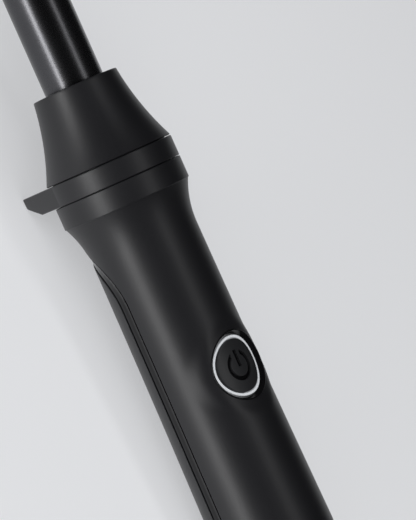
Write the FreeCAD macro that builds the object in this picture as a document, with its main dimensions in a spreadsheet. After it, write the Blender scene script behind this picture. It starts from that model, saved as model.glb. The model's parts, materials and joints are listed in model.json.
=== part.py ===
import FreeCAD, Part
import math
import os

import Sketcher

# A clampless curling iron, built standing on its tail: +Z runs from the tail to the barrel's
# tip, +X faces the power button and -X the stand foot.  The finished pieces are then laid down
# together, so that the iron rests on its foot and its tail, as it does on a table.

Vector = FreeCAD.Vector
Placement = FreeCAD.Placement
Rotation = FreeCAD.Rotation

DRIVING_SIZES = (
    ("barrel_radius", 12.5, "heated barrel, outside radius"),
    ("barrel_wall", 1.0, "heated barrel, wall"),
    ("seat_step", 0.3, "heated barrel, how far its end in the nose is turned down"),
    ("barrel_shown", 119.0, "barrel between the nose rim and the cool tip"),
    ("tip_length", 21.0, "cool tip, length"),
    ("tip_step", 0.2, "cool tip, how far it stays inside the barrel's radius"),
    ("tip_edge", 5.0, "cool tip, rounding of its end"),
    ("rim_gap", 3.3, "air gap between the barrel and the nose rim"),
    ("rim_lip", 2.3, "nose rim, width of its end face"),
    ("rim_depth", 6.0, "nose rim, straight part of its bore"),
    ("nose_length", 33.2, "nose cone, length"),
    ("nose_curve", 115.0, "nose cone, radius of its hollow flank"),
    ("nose_step", 0.2, "nose cone, how far its foot stays inside the stand ring"),
    ("nose_wall", 2.4, "nose cone, wall at its foot"),
    ("ring_radius", 27.2, "stand ring, outside radius"),
    ("ring_bore", 21.0, "stand ring, inside radius"),
    ("ring_height", 8.7, "stand ring, height"),
    ("ring_spigot", 5.5, "stand ring, depth of its spigot in the collar"),
    ("ring_lip", 2.3, "stand ring, height of its lip in the nose cone"),
    ("edge_break", 0.35, "small chamfer on the visible rims"),
    ("foot_reach", 39.4, "stand foot, distance of its end face from the axis"),
    ("foot_width", 29.0, "stand foot, width at its end"),
    ("foot_tip", 4.0, "stand foot, thickness at its end"),
    ("foot_corner", 3.0, "stand foot, rounding of its corners"),
    ("collar_height", 9.3, "collar, height"),
    ("collar_web", 3.0, "collar, thickness of its floor"),
    ("collar_wall", 3.2, "collar, wall round the stand ring's spigot"),
    ("collar_spigot", 8.0, "collar, depth of its spigot in the handle"),
    ("collar_spigot_wall", 2.7, "collar, wall of its spigot"),
    ("seam", 0.25, "visible gap between two mouldings"),
    ("slip_gap", 0.1, "gap between pieces that are pushed together"),
    ("handle_length", 168.0, "tail to collar"),
    ("handle_step", 0.4, "handle top, how far it stays inside the collar"),
    ("flare_length", 18.0, "handle, length of the flare under the collar"),
    ("flare_curve", 41.6, "handle, radius of the flare"),
    ("waist_radius", 22.7, "handle, outside radius at the waist"),
    ("swell", 1.65, "handle, growth of its radius from the waist to the tail"),
    ("grip_swell", 0.5, "handle, growth of its radius from the waist to the middle of the grip"),
    ("grip_height", 90.0, "handle, height of the middle of the grip"),
    ("swell_height", 18.0, "handle, height of its widest place"),
    ("tail_taper", 1.1, "handle, loss of radius from its widest place to the tail cap"),
    ("tail_curve", 60.0, "handle, radius of its flank beside the tail cap"),
    ("shell_wall", 2.4, "handle shells, wall at the waist"),
    ("arch_drop", 38.5, "rear cover, centre of its arch below the collar"),
    ("arch_radius", 30.0, "rear cover opening, radius of its arch"),
    ("trim_width", 5.0, "side trim, width seen from the side"),
    ("trim_recess", 0.45, "side trim, depth below the shells"),
    ("parting", 0.15, "gap between the side trim and each shell"),
    ("tail_height", 9.0, "tail cap, height"),
    ("tail_edge", 5.0, "tail cap, rounding of its end"),
    ("tail_floor", 3.0, "tail cap, floor"),
    ("tail_spigot", 5.0, "tail cap, depth of its spigot in the handle"),
    ("tail_spigot_wall", 2.4, "tail cap, wall of its spigot"),
    ("neck_wall", 3.5, "tail cap, wall of the swivel's bearing"),
    ("neck_height", 14.0, "tail cap, top of the swivel's bearing"),
    ("button_height", 91.5, "power button, centre above the tail"),
    ("button_sink", 1.5, "power button, how far its face lies inside the waist radius"),
    ("button_radius", 11.05, "power button, radius"),
    ("button_crown", 27.0, "power button, radius its face is crowned to"),
    ("button_travel", 0.8, "power button, travel"),
    ("glow_gap", 0.4, "gap between the button and the light ring"),
    ("glow_width", 1.0, "light ring, width of its face"),
    ("bezel_width", 1.85, "bezel, width of its sloping face and its rim"),
    ("bezel_rise", 0.05, "bezel, crown of its rim outside the waist radius"),
    ("bezel_crown", 34.0, "bezel, radius its rim is crowned to"),
    ("dish_width", 1.5, "bezel, width of its sloping face"),
    ("dish_depth", 2.0, "bezel, depth of its sloping face"),
    ("boss_width", 1.4, "front shell, wall round the bezel"),
    ("boss_step", 0.3, "front shell, how far that wall stays below the bezel"),
    ("stack_height", 9.6, "button face above the control board"),
    ("board_length", 86.0, "control board, length"),
    ("board_width", 28.0, "control board, width"),
    ("board_thickness", 1.6, "control board, thickness"),
    ("board_base", 48.0, "control board, lower end above the tail"),
    ("post_radius", 2.8, "board posts, radius"),
    ("post_inset", 4.0, "board posts, distance from the board's ends"),
    ("post_spread", 11.0, "board posts, distance from the centre line"),
    ("pillar_radius", 3.2, "cover pillars, radius"),
    ("pillar_low", 38.0, "lower cover pillar above the tail"),
    ("pillar_drop", 24.5, "upper cover pillar below the collar"),
    ("cord_bore", 3.5, "swivel gland, radius of the cord's passage"),
    ("gland_radius", 6.95, "swivel gland, radius in its bearing"),
    ("gland_nose", 6.0, "swivel gland, length outside the tail"),
    ("gland_brim", 1.65, "swivel gland, width of its outer shoulder"),
    ("running_gap", 0.06, "swivel, radial clearance of its bearing"),
    ("hub_radius", 5.5, "swivel gland, radius under the slip rings"),
    ("hub_top", 29.0, "swivel gland, inner end above the tail"),
    ("slip_ring_radius", 7.0, "slip rings, outside radius"),
    ("slip_ring_width", 3.0, "slip rings, width"),
    ("slip_ring_low", 17.0, "lower slip ring above the tail"),
    ("slip_ring_pitch", 6.0, "slip rings, spacing"),
    ("socket_wall", 3.0, "barrel mount, wall round the barrel"),
    ("socket_depth", 20.4, "barrel mount, length of barrel that it holds"),
    ("wire_way", 8.0, "barrel mount, radius of the passage for the leads"),
    ("lead_radius", 0.9, "leads, radius"),
    ("lead_spread", 6.0, "heater leads, distance from the centre plane"),
    ("core_thickness", 2.6, "ceramic heater, thickness"),
    ("core_width", 14.0, "ceramic heater, width"),
    ("core_length", 60.0, "ceramic heater, length"),
    ("core_base", 16.0, "ceramic heater, lower end above the nose rim"),
    ("spreader_wall", 1.2, "heat spreaders, wall"),
    ("spreader_length", 70.0, "heat spreaders, length"),
    ("screw_shank", 1.3, "screws, radius of the shank"),
    ("small_shank", 0.9, "board screws, radius of the shank"),
    ("tool_reach", 10.0, "how far a cutting shape runs past what it cuts"),
    ("pillar_setback", 2.3, "cover pillars, how far they stay inside the shells' bore"),
    ("cover_pilot", 18.0, "cover pillars, pilot hole, length both ways from the pillar's end"),
    ("board_pilot", 9.0, "board posts, pilot hole, length both ways from the post's end"),
    ("mount_pilot", 16.0, "barrel mount, pilot holes, length both ways from the collar's floor"),
    ("boss_radius", 4.5, "rear cover, radius of its screw bosses"),
    ("boss_drill", 14.0, "rear cover, screw holes, length both ways from the boss's foot"),
    ("screw_seat", 0.9, "rear cover, seat of its screw heads outside the shells' bore"),
    ("head_radius", 2.6, "screw heads, radius"),
    ("head_gap", 0.3, "screw heads, radial gap in the rear cover"),
    ("head_room", 8.0, "rear cover, length of the cut over a screw head"),
    ("cover_head", 1.3, "cover screws, height of the head"),
    ("cover_shank", 11.0, "cover screws, length under the head"),
    ("mount_head", 1.8, "mount screws, height of the head"),
    ("mount_bite", 7.0, "mount screws, length in the barrel mount"),
    ("small_head", 1.9, "board screws, radius of the head"),
    ("small_head_height", 1.2, "board screws, height of the head"),
    ("small_bite", 4.0, "board screws, length in the posts"),
    ("root_depth", 1.0, "stand foot, how far its root stops outside the ring's bore"),
    ("root_width", 10.4, "stand foot, width of its root"),
    ("foot_start", 0.3, "stand foot, start of its sloping underside outside the ring"),
    ("flange_low", 3.0, "barrel mount, its guide flange above the stand ring's underside"),
    ("flange_height", 3.0, "barrel mount, height of its guide flange"),
    ("stop_height", 3.0, "barrel mount, floor under the barrel above the nose cone's foot"),
    ("washer_height", 1.2, "mica washer, thickness"),
    ("insulator_bore", 3.0, "tip insulator, radius of its bore"),
    ("insulator_depth", 12.0, "tip insulator, depth in the barrel"),
    ("insulator_step", 0.6, "tip insulator, how far its flange stays inside the tip"),
    ("stub_radius", 7.0, "tip insulator, radius of the stub that holds the tip"),
    ("stub_height", 8.0, "tip insulator, height of that stub"),
    ("tip_hollow", 12.0, "cool tip, depth of its hollow"),
    ("spreader_lead", 5.0, "heat spreaders, how far they start before the ceramic heater"),
    ("bead_radius", 1.1, "thermistor, radius"),
    ("bead_length", 7.0, "thermistor, length"),
    ("bead_level", 20.0, "thermistor, above the ceramic heater's lower end"),
    ("bead_gap", 0.05, "thermistor, gap from the heat spreader"),
    ("fuse_radius", 1.8, "thermal fuse, radius"),
    ("fuse_length", 11.0, "thermal fuse, length"),
    ("fuse_level", 6.0, "thermal fuse, above the barrel's lower end"),
    ("parts_level", 12.0, "capacitor and triac, above the board's lower end"),
    ("capacitor_radius", 5.0, "capacitor, radius"),
    ("capacitor_length", 14.0, "capacitor, length"),
    ("capacitor_side", 6.0, "capacitor, distance from the centre plane"),
    ("triac_thickness", 4.5, "triac, thickness"),
    ("triac_width", 10.0, "triac, width"),
    ("triac_length", 15.0, "triac, length"),
    ("triac_side", 2.0, "triac, distance of its near side from the centre plane"),
    ("chip_thickness", 1.2, "controller chip, thickness"),
    ("chip_width", 8.0, "controller chip, width and length"),
    ("chip_level", 52.0, "controller chip, above the board's lower end"),
    ("ring_foot", 1.1, "light ring, its foot above the board"),
    ("guide_wall", 0.8, "light ring, wall of its lower sleeve"),
    ("sleeve_width", 0.65, "light ring, how far its lower sleeve reaches outside its face"),
    ("sleeve_top", 5.6, "light ring, top of its lower sleeve above the board"),
    ("glow_step", 4.6, "light ring, the step that stops the button, above the board"),
    ("brim_gap", 0.2, "button, clearance under the light ring's step"),
    ("brim_height", 1.2, "button, height of its brim"),
    ("guide_gap", 0.4, "button, gap between its brim and the light ring"),
    ("cap_wall", 2.4, "button, wall of its skirt"),
    ("cap_roof", 7.2, "button, underside of its roof above the board"),
    ("stem_radius", 2.2, "button, radius of its stem"),
    ("plunger_top", 4.5, "tact switch, top of its plunger above the board"),
    ("plunger_radius", 1.7, "tact switch, radius of its plunger"),
    ("plunger_room", 0.5, "tact switch, room under the pressed plunger"),
    ("switch_bore", 1.8, "tact switch, radius of its bore"),
    ("switch_radius", 3.4, "tact switch, radius and height of its can"),
    ("switch_floor", 0.3, "tact switch, floor"),
    ("lamp_width", 1.2, "indicator lamps, width"),
    ("lamp_height", 0.9, "indicator lamps, height"),
    ("lamp_inset", 0.7, "indicator lamps, centre inside the light ring's radius"),
    ("sign_depth", 1.3, "power sign, depth below the button's crown"),
    ("sign_radius", 5.4, "power sign, middle radius of its broken circle"),
    ("sign_stroke", 1.8, "power sign, width of its lines"),
    ("sign_gap", 5.0, "power sign, width of the gap in its circle"),
    ("sign_bar_end", 6.5, "power sign, far end of its bar from the centre"),
    ("sign_bar", 7.0, "power sign, length of its bar"),
    ("nose_rounding", 1.5, "swivel gland, rounding of its outer end"),
    ("groove_depth", 0.75, "swivel gland, depth of the retainer's groove"),
    ("groove_width", 1.0, "swivel gland, width of the retainer's groove"),
    ("groove_shoulder", 0.7, "swivel gland, shoulder beyond the retainer's groove"),
    ("retainer_gap", 0.05, "retainer, gap from its groove on each side"),
    ("retainer_inset", 0.9, "retainer, how far it stays inside the bearing's wall"),
    ("hub_gap", 0.02, "slip rings, radial gap on the gland's hub"),
    ("holder_offset", 4.0, "brush holder, distance outside the slip rings"),
    ("holder_depth", 5.0, "brush holder, depth"),
    ("holder_width", 8.0, "brush holder, width"),
    ("brush_width", 3.0, "brushes, width"),
    ("brush_inset", 0.4, "brushes, how far they stay inside the slip ring's width on each side"),
)

doc = FreeCAD.newDocument("curling_iron")
sheet = doc.addObject("Spreadsheet::Sheet", "Sizes")
for row, (alias, number, meaning) in enumerate(DRIVING_SIZES, start=1):
    sheet.set("A%d" % row, meaning)
    sheet.set("B%d" % row, str(number))
    sheet.setAlias("B%d" % row, alias)
doc.recompute()


class Size:
    """A length: its value, and the expression that ties it to the sheet."""

    def __init__(self, value, text):
        self.value = value
        self.text = text

    def __add__(self, other):
        other = sized(other)
        return Size(self.value + other.value, "(%s + %s)" % (self.text, other.text))

    def __sub__(self, other):
        other = sized(other)
        return Size(self.value - other.value, "(%s - %s)" % (self.text, other.text))

    def __mul__(self, other):
        other = sized(other)
        return Size(self.value * other.value, "(%s * %s)" % (self.text, other.text))

    def __truediv__(self, other):
        other = sized(other)
        return Size(self.value / other.value, "(%s / %s)" % (self.text, other.text))

    def __radd__(self, other):
        return sized(other) + self

    def __rsub__(self, other):
        return sized(other) - self

    def __neg__(self):
        return Size(-self.value, "(0 - %s)" % self.text)


def sized(number):
    """A Size from a Size or from a plain number."""
    return number if isinstance(number, Size) else Size(float(number), "%g" % number)


def root(size):
    return Size(math.sqrt(size.value), "sqrt(%s)" % size.text)


def cell(alias):
    return Size(float(sheet.get(alias)), "Sizes.%s" % alias)


def chord(radius, distance):
    """Half the chord of a circle, at a distance from its centre."""
    return root(radius * radius - distance * distance)


# --- levels along the axis, and radii that several pieces share -------------------------------

collar_level = cell("handle_length")
ring_level = collar_level + cell("collar_height") + cell("seam")
nose_level = ring_level + cell("ring_height") + cell("seam")
rim_level = nose_level + cell("nose_length")
tip_level = rim_level + cell("barrel_shown")
barrel_bore = cell("barrel_radius") - cell("barrel_wall")
rim_bore = cell("barrel_radius") + cell("rim_gap")
shell_bore = cell("waist_radius") - cell("shell_wall")
tail_radius = cell("waist_radius") + cell("swell") - cell("tail_taper")
arch_level = collar_level - cell("arch_drop")
floor_level = collar_level + cell("collar_web")
socket_level = nose_level + cell("slip_gap") + cell("stop_height")
socket_top = socket_level + cell("socket_depth")
button_face = cell("waist_radius") - cell("button_sink")
board_face = button_face - cell("stack_height")
bezel_face = cell("waist_radius") + cell("bezel_rise")
glow_inner = cell("button_radius") + cell("glow_gap")
glow_outer = glow_inner + cell("glow_width")
bezel_lip = glow_outer + cell("slip_gap")
bezel_outer = bezel_lip + cell("bezel_width")
board_back = board_face - cell("board_thickness")
core_level = rim_level + cell("core_base")
tool_reach = cell("tool_reach")
pillar_levels = (cell("pillar_low"), collar_level - cell("pillar_drop"))
screw_seat = -(shell_bore + cell("screw_seat"))
holder_side = cell("slip_ring_radius") + cell("holder_offset")
mount_outer = cell("barrel_radius") + cell("socket_wall")
mount_ring = (cell("wire_way") + mount_outer) / 2


# --- drawing and feature helpers ---------------------------------------------------------------

def new_body(label):
    return doc.addObject("PartDesign::Body", label)


def new_sketch(body, role, offset=0):
    """A sketch on one of the body's own origin planes, moved along that plane's normal."""
    plane = [feature for feature in body.Origin.OriginFeatures if feature.Role == role][0]
    sketch = body.newObject("Sketcher::SketchObject", "%s_sketch" % body.Label)
    sketch.AttachmentSupport = [(plane, "")]
    sketch.MapMode = "FlatFace"
    offset = sized(offset)
    sketch.AttachmentOffset = Placement(Vector(0, 0, offset.value), Rotation())
    sketch.setExpression("AttachmentOffset.Base.z", offset.text)
    return sketch


def fix_point(sketch, geometry, point, across, up):
    """Dimension one point of the sketch from its origin, along both axes."""
    for kind, axis, size in (("DistanceX", -2, sized(across)), ("DistanceY", -1, sized(up))):
        if size.value == 0:
            sketch.addConstraint(Sketcher.Constraint("PointOnObject", geometry, point, axis))
            continue
        ends = (-1, 1, geometry, point) if size.value > 0 else (geometry, point, -1, 1)
        number = sketch.addConstraint(Sketcher.Constraint(kind, *ends, abs(size.value)))
        text = size.text if size.value > 0 else (-size).text
        sketch.setExpression("Constraints[%d]" % number, text)


def draw_circle(sketch, across, up, radius):
    across, up, radius = sized(across), sized(up), sized(radius)
    centre = Vector(across.value, up.value, 0)
    geometry = sketch.addGeometry(Part.Circle(centre, Vector(0, 0, 1), radius.value), False)
    number = sketch.addConstraint(Sketcher.Constraint("Radius", geometry, radius.value))
    sketch.setExpression("Constraints[%d]" % number, radius.text)
    fix_point(sketch, geometry, 3, across, up)


def draw_outline(sketch, corners, arcs=None):
    """A closed outline.  arcs maps an edge's number to its radius: + bends it to the left."""
    arcs = arcs or {}
    corners = [(sized(across), sized(up)) for across, up in corners]
    spots = [Vector(across.value, up.value, 0) for across, up in corners]
    count = len(corners)
    first = sketch.GeometryCount
    ends = []
    for edge in range(count):
        start, end = spots[edge], spots[(edge + 1) % count]
        if edge not in arcs:
            sketch.addGeometry(Part.LineSegment(start, end), False)
            ends.append((1, 2))
            continue
        side, radius = arcs[edge]
        run = end - start
        height = math.sqrt(radius.value ** 2 - run.Length ** 2 / 4)
        left = Vector(-run.y, run.x, 0).normalize()
        centre = (start + end) * 0.5 + left * (side * height)
        if side < 0:
            start, end = end, start
        angles = [math.atan2(spot.y - centre.y, spot.x - centre.x) for spot in (start, end)]
        circle = Part.Circle(centre, Vector(0, 0, 1), radius.value)
        sketch.addGeometry(Part.ArcOfCircle(circle, angles[0], angles[1]), False)
        ends.append((1, 2) if side > 0 else (2, 1))
    for edge in range(count):
        following = (edge + 1) % count
        sketch.addConstraint(Sketcher.Constraint(
            "Coincident", first + edge, ends[edge][1], first + following, ends[following][0]))
        fix_point(sketch, first + edge, ends[edge][0], *corners[edge])
    for edge, (side, radius) in arcs.items():
        number = sketch.addConstraint(Sketcher.Constraint("Radius", first + edge, radius.value))
        sketch.setExpression("Constraints[%d]" % number, radius.text)


def rectangle(left, right, bottom, top):
    return [(left, bottom), (right, bottom), (right, top), (left, top)]


def revolve(body, sketch):
    turned = body.newObject("PartDesign::Revolution", "%s_turned" % body.Label)
    turned.Profile = sketch
    turned.ReferenceAxis = (sketch, ["V_Axis"])
    turned.Angle = 360
    return turned


def turned_body(label, corners, arcs=None):
    """A body turned about the axis, from its half section (distance from the axis, level)."""
    body = new_body(label)
    sketch = new_sketch(body, "XZ_Plane")
    draw_outline(sketch, corners, arcs)
    revolve(body, sketch)
    return body


def pad(body, sketch, length, symmetric=False):
    length = sized(length)
    raised = body.newObject("PartDesign::Pad", "%s_pad" % body.Label)
    raised.Profile = sketch
    raised.SideType = "Symmetric" if symmetric else "One side"
    raised.Length = length.value
    raised.setExpression("Length", length.text)
    return raised


def pocket(body, sketch, length=None):
    """A cut both ways from the sketch, of one length or through all, that must take stuff away."""
    doc.recompute()
    before = body.Shape.Volume
    cut = body.newObject("PartDesign::Pocket", "%s_cut" % body.Label)
    cut.Profile = sketch
    cut.SideType = "Symmetric"
    if length is None:
        cut.Type = "ThroughAll"
    else:
        length = sized(length)
        cut.Length = length.value
        cut.setExpression("Length", length.text)
    doc.recompute()
    if body.Shape.Volume > before - 1e-3:
        raise RuntimeError("%s: a pocket cuts nothing" % body.Label)
    return cut


def drill(body, role, offset, across, up, radius, length=None):
    sketch = new_sketch(body, role, offset)
    draw_circle(sketch, across, up, radius)
    pocket(body, sketch, length)


def stud(body, role, offset, across, up, radius, length):
    sketch = new_sketch(body, role, offset)
    draw_circle(sketch, across, up, radius)
    pad(body, sketch, length)


def block(label, corners, role, offset, length, symmetric=False):
    """A straight piece: one outline, padded."""
    body = new_body(label)
    sketch = new_sketch(body, role, offset)
    draw_outline(sketch, corners)
    pad(body, sketch, length, symmetric)
    return body


def primitive(kind, name, sizes, spot=None):
    """A Part primitive whose sizes follow the sheet."""
    piece = doc.addObject("Part::%s" % kind, name)
    for prop, size in sizes.items():
        size = sized(size)
        setattr(piece, prop, size.value)
        piece.setExpression(prop, size.text)
    if spot is not None:
        piece.Placement = spot
    return piece


def boolean(kind, name, base, tool):
    result = doc.addObject("Part::%s" % kind, name)
    result.Base = base
    result.Tool = tool
    return result


def spot_at(across, side, up, turn=None):
    """A placement from three sizes and an optional rotation."""
    base = Vector(sized(across).value, sized(side).value, sized(up).value)
    return Placement(base, turn or Rotation())


# --- how the finished iron lies ------------------------------------------------------------------

facing_out = Rotation(Vector(0, 1, 0), 90)
facing_back = Rotation(Vector(0, 1, 0), -90)
foot_top = ring_level + cell("ring_height")
foot_middle = foot_top - cell("foot_tip") / 2
arm = cell("foot_reach") - tail_radius + cell("tail_edge")
reach = foot_middle - cell("tail_edge")
sheet.set("A%d" % (len(DRIVING_SIZES) + 1), "slope at which the iron rests, in degrees")
sheet.set(
    "B%d" % (len(DRIVING_SIZES) + 1),
    "=(acos(%s / hypot(%s; %s)) - atan2(%s; %s)) / 1 deg"
    % tuple(part.text.replace("Sizes.", "") for part in (cell("tail_edge"), arm, reach, reach, arm)),
)
sheet.setAlias("B%d" % (len(DRIVING_SIZES) + 1), "rest_slope")
doc.recompute()
slope = math.radians(float(sheet.get("rest_slope")))
lying = Rotation(
    Vector(-math.sin(slope), 0, math.cos(slope)),
    Vector(0, -1, 0),
    Vector(math.cos(slope), 0, math.sin(slope)),
    "XYZ",
)
foot_centre = Vector(-cell("foot_reach").value, 0, foot_middle.value)
resting = Placement(lying.multVec(foot_centre) * -1, lying)

pieces = []


def finish(piece, label, spot=None):
    """Name a finished sub-part and lay it down with the others."""
    piece.Label = label
    pieces.append((piece, resting.multiply(spot or piece.Placement)))


def grouped(label, members):
    """Several like solids as one sub-part."""
    group = doc.addObject("Part::Compound", label)
    group.Links = members
    return group


def screw(name, head_sizes, shank_sizes, head_spot, shank_spot):
    """A screw: its head and its shank, each with a radius, a length and a place."""
    head = primitive("Cylinder", "%s_head" % name,
                     {"Radius": head_sizes[0], "Height": head_sizes[1]}, head_spot)
    shank = primitive("Cylinder", "%s_shank" % name,
                      {"Radius": shank_sizes[0], "Height": shank_sizes[1]}, shank_spot)
    return boolean("Fuse", name, head, shank)


def mount_spots():
    """The places of the barrel mount's three screws, across the axis."""
    half = mount_ring / 2
    across = mount_ring * (math.sqrt(3) / 2)
    return (mount_ring, sized(0)), (-half, across), (-half, -across)


# --- handle ---------------------------------------------------------------------------------------

def handle_body(label, recess=0):
    """The handle's round wall, turned from its outer line and its straight bore."""
    bottom = cell("tail_height") + cell("seam")
    widest = cell("waist_radius") + cell("swell")
    corners = [
        (shell_bore, bottom),
        (tail_radius - recess, bottom),
        (widest - recess, cell("swell_height")),
        (cell("waist_radius") + cell("grip_swell") - recess, cell("grip_height")),
        (cell("waist_radius") - recess, collar_level - cell("flare_length")),
        (cell("ring_radius") - cell("handle_step") - recess, collar_level),
        (shell_bore, collar_level),
    ]
    arcs = {1: (1, cell("tail_curve")), 4: (-1, cell("flare_curve"))}
    return turned_body(label, corners, arcs)


def arch_cut(body, face, radius, front):
    """Cut away all in front of, or all behind, a line that runs up the side and arches back."""
    far = cell("ring_radius") * 2
    back = face - radius
    edge = far if front else -far
    apex = arch_level + radius
    corners = [(face, -tool_reach), (face, arch_level), (back, apex), (-far, apex)]
    if front:
        over = collar_level + tool_reach
        corners += [(-far, over), (edge, over), (edge, -tool_reach)]
    else:
        corners += [(edge, -tool_reach)]
    sketch = new_sketch(body, "XZ_Plane")
    draw_outline(sketch, corners, {1: (1, radius)})
    pocket(body, sketch)


def make_front_shell():
    moulding = handle_body("front_shell_moulding")
    arch_cut(moulding, sized(0), cell("arch_radius"), front=False)
    spread = cell("post_spread")
    low = cell("board_base") + cell("post_inset")
    high = cell("board_base") + cell("board_length") - cell("post_inset")
    post_length = chord(shell_bore, spread) + cell("shell_wall") / 2 - board_face
    for level in (low, high):
        for side in (spread, -spread):
            stud(moulding, "YZ_Plane", board_face, side, level, cell("post_radius"), post_length)
            drill(moulding, "YZ_Plane", board_face, side, level, cell("small_shank"),
                  cell("board_pilot"))
    setback = cell("pillar_setback")
    pillar_foot = -(shell_bore - setback)
    pillar_length = shell_bore * 2 - setback + cell("shell_wall") / 2
    for level in pillar_levels:
        stud(moulding, "YZ_Plane", pillar_foot, 0, level, cell("pillar_radius"), pillar_length)
        drill(moulding, "YZ_Plane", pillar_foot, 0, level, cell("screw_shank"), cell("cover_pilot"))
    hole_radius = bezel_outer + cell("slip_gap")
    boss_foot = chord(shell_bore, hole_radius) + cell("shell_wall") / 2
    button_spot = spot_at(0, 0, cell("button_height"), facing_out)
    post = primitive(
        "Cylinder", "button_boss",
        {"Radius": hole_radius + cell("boss_width"), "Height": bezel_face - boss_foot},
        spot_at(boss_foot, 0, cell("button_height"), facing_out))
    crown_radius = cell("bezel_crown") - cell("boss_step")
    crown = primitive(
        "Cylinder", "button_boss_crown", {"Radius": crown_radius, "Height": crown_radius * 2},
        spot_at(bezel_face - cell("bezel_crown"), 0, cell("button_height") - crown_radius))
    hole = primitive(
        "Cylinder", "button_hole", {"Radius": hole_radius, "Height": bezel_face + tool_reach},
        button_spot)
    boss = boolean("Common", "button_boss_crowned", post, crown)
    raised = boolean("Fuse", "front_shell_raised", moulding, boss)
    shell = boolean("Cut", "front_shell", raised, hole)
    finish(shell, "front_shell")


def make_rear_cover():
    cover = handle_body("rear_cover")
    face = -(cell("trim_width") + cell("parting"))
    arch_cut(cover, face, cell("arch_radius") + face, front=True)
    boss_foot = -(shell_bore + cell("shell_wall") / 2)
    boss_length = cell("shell_wall") / 2 + cell("pillar_setback") - cell("slip_gap")
    clearance = cell("screw_shank") + cell("slip_gap")
    head_room = cell("head_room")
    for level in pillar_levels:
        stud(cover, "YZ_Plane", boss_foot, 0, level, cell("boss_radius"), boss_length)
        drill(cover, "YZ_Plane", boss_foot, 0, level, clearance, cell("boss_drill"))
        drill(cover, "YZ_Plane", screw_seat - head_room / 2, 0, level,
              cell("head_radius") + cell("head_gap"), head_room)
    finish(cover, "rear_cover")


def make_side_trim():
    trim = handle_body("side_trim", recess=cell("trim_recess"))
    arch_cut(trim, -cell("parting"), cell("arch_radius") - cell("parting"), front=True)
    face = -cell("trim_width")
    arch_cut(trim, face, cell("arch_radius") + face, front=False)
    finish(trim, "side_trim")


def make_cover_screws():
    shank_radius = cell("screw_shank") - cell("running_gap")
    finish(grouped("cover_screws", [
        screw("cover_screw", (cell("head_radius"), cell("cover_head")),
              (shank_radius, cell("cover_shank")),
              spot_at(screw_seat, 0, level, facing_back),
              spot_at(screw_seat, 0, level, facing_out))
        for level in pillar_levels]), "cover_screws")


# --- nose, stand ring and collar ------------------------------------------------------------------

def make_collar_base():
    outer = cell("ring_radius")
    spigot = shell_bore - cell("slip_gap")
    bottom = collar_level - cell("collar_spigot")
    top = collar_level + cell("collar_height")
    bevel = cell("edge_break")
    collar = turned_body("collar_base", [
        (cell("wire_way"), collar_level),
        (spigot - cell("collar_spigot_wall"), collar_level),
        (spigot - cell("collar_spigot_wall"), bottom),
        (spigot, bottom),
        (spigot, collar_level),
        (outer, collar_level),
        (outer, top - bevel),
        (outer - bevel, top),
        (outer - cell("collar_wall"), top),
        (outer - cell("collar_wall"), floor_level),
        (cell("wire_way"), floor_level),
    ])
    clearance = cell("screw_shank") + cell("slip_gap")
    for side, up in mount_spots():
        drill(collar, "XY_Plane", floor_level, side, up, clearance, cell("collar_web") * 3)
    finish(collar, "collar_base")


def make_stand_ring():
    outer = cell("ring_radius")
    bore = cell("ring_bore")
    spigot = outer - cell("collar_wall") - cell("slip_gap")
    lip = outer - cell("nose_step") - cell("nose_wall") - cell("slip_gap")
    bevel = cell("edge_break")
    ring = turned_body("stand_ring", [
        (bore, ring_level - cell("ring_spigot")),
        (spigot, ring_level - cell("ring_spigot")),
        (spigot, ring_level),
        (outer - bevel, ring_level),
        (outer, ring_level + bevel),
        (outer, foot_top - bevel),
        (outer - bevel, foot_top),
        (lip, foot_top),
        (lip, foot_top + cell("ring_lip")),
        (bore, foot_top + cell("ring_lip")),
    ])
    tilt = math.tan(slope)
    end = cell("foot_reach") + cell("foot_tip")
    half = cell("foot_width") / 2
    span = end * end + half * half
    near = outer * outer / span
    away = outer * root(span - outer * outer) / span
    touch_across = -(end * near) + half * away
    touch_side = half * near + end * away
    root_line, root_half = -(bore + cell("root_depth")), cell("root_width") / 2
    plan = new_sketch(ring, "XY_Plane", ring_level)
    draw_outline(plan, [
        (-end, -half), (touch_across, -touch_side), (root_line, -root_half),
        (root_line, root_half), (touch_across, touch_side), (-end, half)])
    pad(ring, plan, cell("ring_height"))
    doc.recompute()
    side_view = new_sketch(ring, "XZ_Plane")
    low = foot_top - cell("foot_tip")
    high = foot_top + tool_reach
    face_low = -(cell("foot_reach")) + (foot_middle - low) * tilt
    face_high = -(cell("foot_reach")) - (high - foot_middle) * tilt
    start = -(outer + cell("foot_start"))
    far = -(end + tool_reach)
    under = ring_level - cell("ring_spigot")
    draw_outline(side_view, [
        (start, under), (start, ring_level), (face_low, low), (face_high, high),
        (far, high), (far, under)])
    wedge = pocket(ring, side_view)
    corners = ["Edge%d" % number for number, edge in enumerate(wedge.Shape.Edges, start=1)
               if is_foot_corner(edge)]
    rounding = ring.newObject("PartDesign::Fillet", "stand_ring_corners")
    rounding.Base = (wedge, corners)
    rounding.Radius = cell("foot_corner").value
    rounding.setExpression("Radius", cell("foot_corner").text)
    finish(ring, "stand_ring")


def is_foot_corner(edge):
    """True for the two upright edges at the ends of the foot's rest face."""
    middle = edge.CenterOfMass
    outward = middle.x < -cell("foot_reach").value + 1
    upright = abs(edge.Vertexes[0].Y - edge.Vertexes[-1].Y) < cell("foot_tip").value / 2
    tall = abs(edge.Vertexes[0].Z - edge.Vertexes[-1].Z) > cell("foot_tip").value * 0.9
    return outward and upright and tall


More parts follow.
